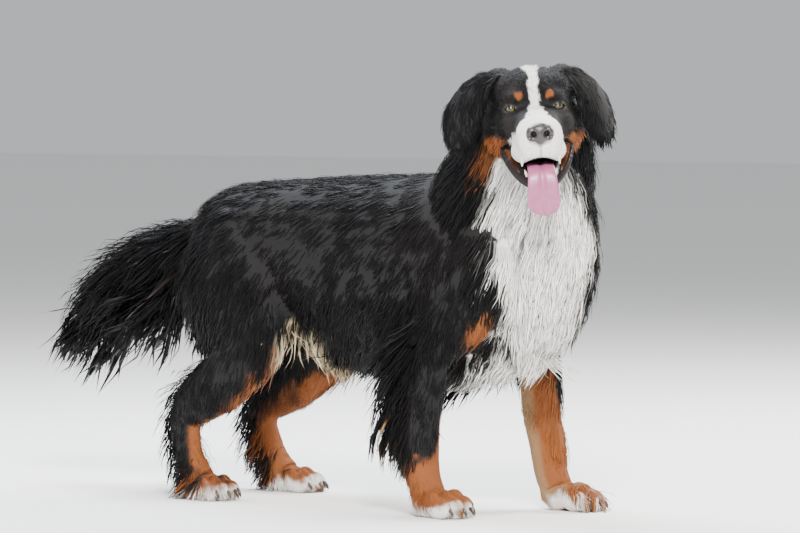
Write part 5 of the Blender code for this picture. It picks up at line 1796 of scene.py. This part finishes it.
def whiskers(side):
    """Rows on the side of the muzzle, each hair bent out, back and down."""
    chance = random.Random(f"whiskers {side}")
    made = []
    for row in range(WHISKER_ROWS):
        for column in range(WHISKERS_IN_ROW):
            x = 0.088 - 0.014 * column + chance.uniform(-0.003, 0.003)
            z = -0.048 - 0.011 * row + chance.uniform(-0.002, 0.002)
            root = Vector((x, side * (0.034 + 0.06 * (0.1 - x)), z))
            way = Vector((-0.35, side, -0.25 - 0.12 * row)).normalized()
            reach = chance.uniform(0.026, 0.046)
            middle = root + way * reach * 0.55
            tip = middle + (way + Vector((-0.35, 0, -0.3))).normalized() * reach * 0.45
            made.append(cone([(root, 1), (middle, 0.8), (tip, 0.25)], WHISKER_HALF, 4, 4))
    return made


IVORY = patchy_finish("ivory", (0.55, 0.44, 0.27), (0.82, 0.74, 0.58), 90.0, 2.0, Roughness=0.22)[0]
STIFF = patchy_finish("whisker", (0.05, 0.045, 0.04), (0.30, 0.28, 0.26), 45.0, 2.0, Roughness=0.35)[0]
teeth = joined("teeth", [tooth(side, *sizes) for side in (1, -1) for sizes in TEETH])
whisker_hairs = joined("whiskers", mirrored(whiskers))
for piece, finish in ((teeth, IVORY), (whisker_hairs, STIFF)):
    finished(piece, finish)
    piece.data.transform(TO_SOLIDS @ HEAD)

# %% [markdown]
# Claws are short horn cones bent down from each toe's tip. They are made in one loop over paws and toes
# and joined, since they share one finish.

# %% The claws
def horn_finish():
    made, tree, shader, _, bands, _ = patchy_finish(
        "claw_horn", (0.012, 0.010, 0.009), (0.075, 0.055, 0.042), 160.0, 3.0, Roughness=0.35)
    roughen(tree, shader, bands, 0.3, 0.0003)
    return made


def claw(name, reach, spread):
    _, _, length, width, _ = PAWS[name]
    tip = reach * length + 0.27 * length
    stations = [
        (tip - 0.012, spread * width, 0.023, 0.0040, 0.0048),
        (tip - 0.001, spread * width, 0.018, 0.0035, 0.0040),
        (tip + 0.004, spread * width, 0.012, 0.0025, 0.0028),
        (tip + 0.006, spread * width, 0.006, 0.0010, 0.0010),
    ]
    mesh = loft(stations, 12, 3)
    mesh.transform(TO_SOLIDS @ paw_frame(name)[0])
    return mesh


claws = finished(joined("claws", [claw(name, *toe) for name in PAWS for toe in TOES]), horn_finish())

# %% [markdown]
# ## Riding on one body
# Each piece rides on the one body and names the solids that it stands for, which are then hidden. The
# unwrap that guided the locks isn't needed on the skins any more.

# %% Riding and replacing
FLESH = ["neck", "torso", "tail"] + [f"{side}_{part}" for side in ("left", "right")
                                     for part in ("foreleg", "thigh", "shank")]
STANDS_FOR = [
    (skin_body, FLESH, "black_coat"),
    (skin_paws, list(PAWS), "rust_coat"),
    (skin_head, ["head"], "black_coat"),
    (skin_jaw, ["jaw"], "white_coat"),
    (skin_ears, ["left_ear", "right_ear"], "black_coat"),
    (nose, ["nose"], "nose_leather"),
    (tongue, ["tongue"], "tongue_flesh"),
    (eyes["left_eye"], ["left_eye"], "amber_eye"),
    (eyes["right_eye"], ["right_eye"], "amber_eye"),
]
for piece, nodes, slot in STANDS_FOR:
    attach(piece, "root")
    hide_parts(*nodes)
for piece in coats:
    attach(piece, "root")
for piece, slot in ((claws, "nose_leather"), (lips, "nose_leather"), (teeth, "white_coat"),
                    (whisker_hairs, "white_coat")):
    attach(piece, "root")
for skin in SKINS:
    skin.data.uv_layers.remove(skin.data.uv_layers["skin_uv"])

# %% Bringing the scene up to date
bpy.context.view_layer.update()
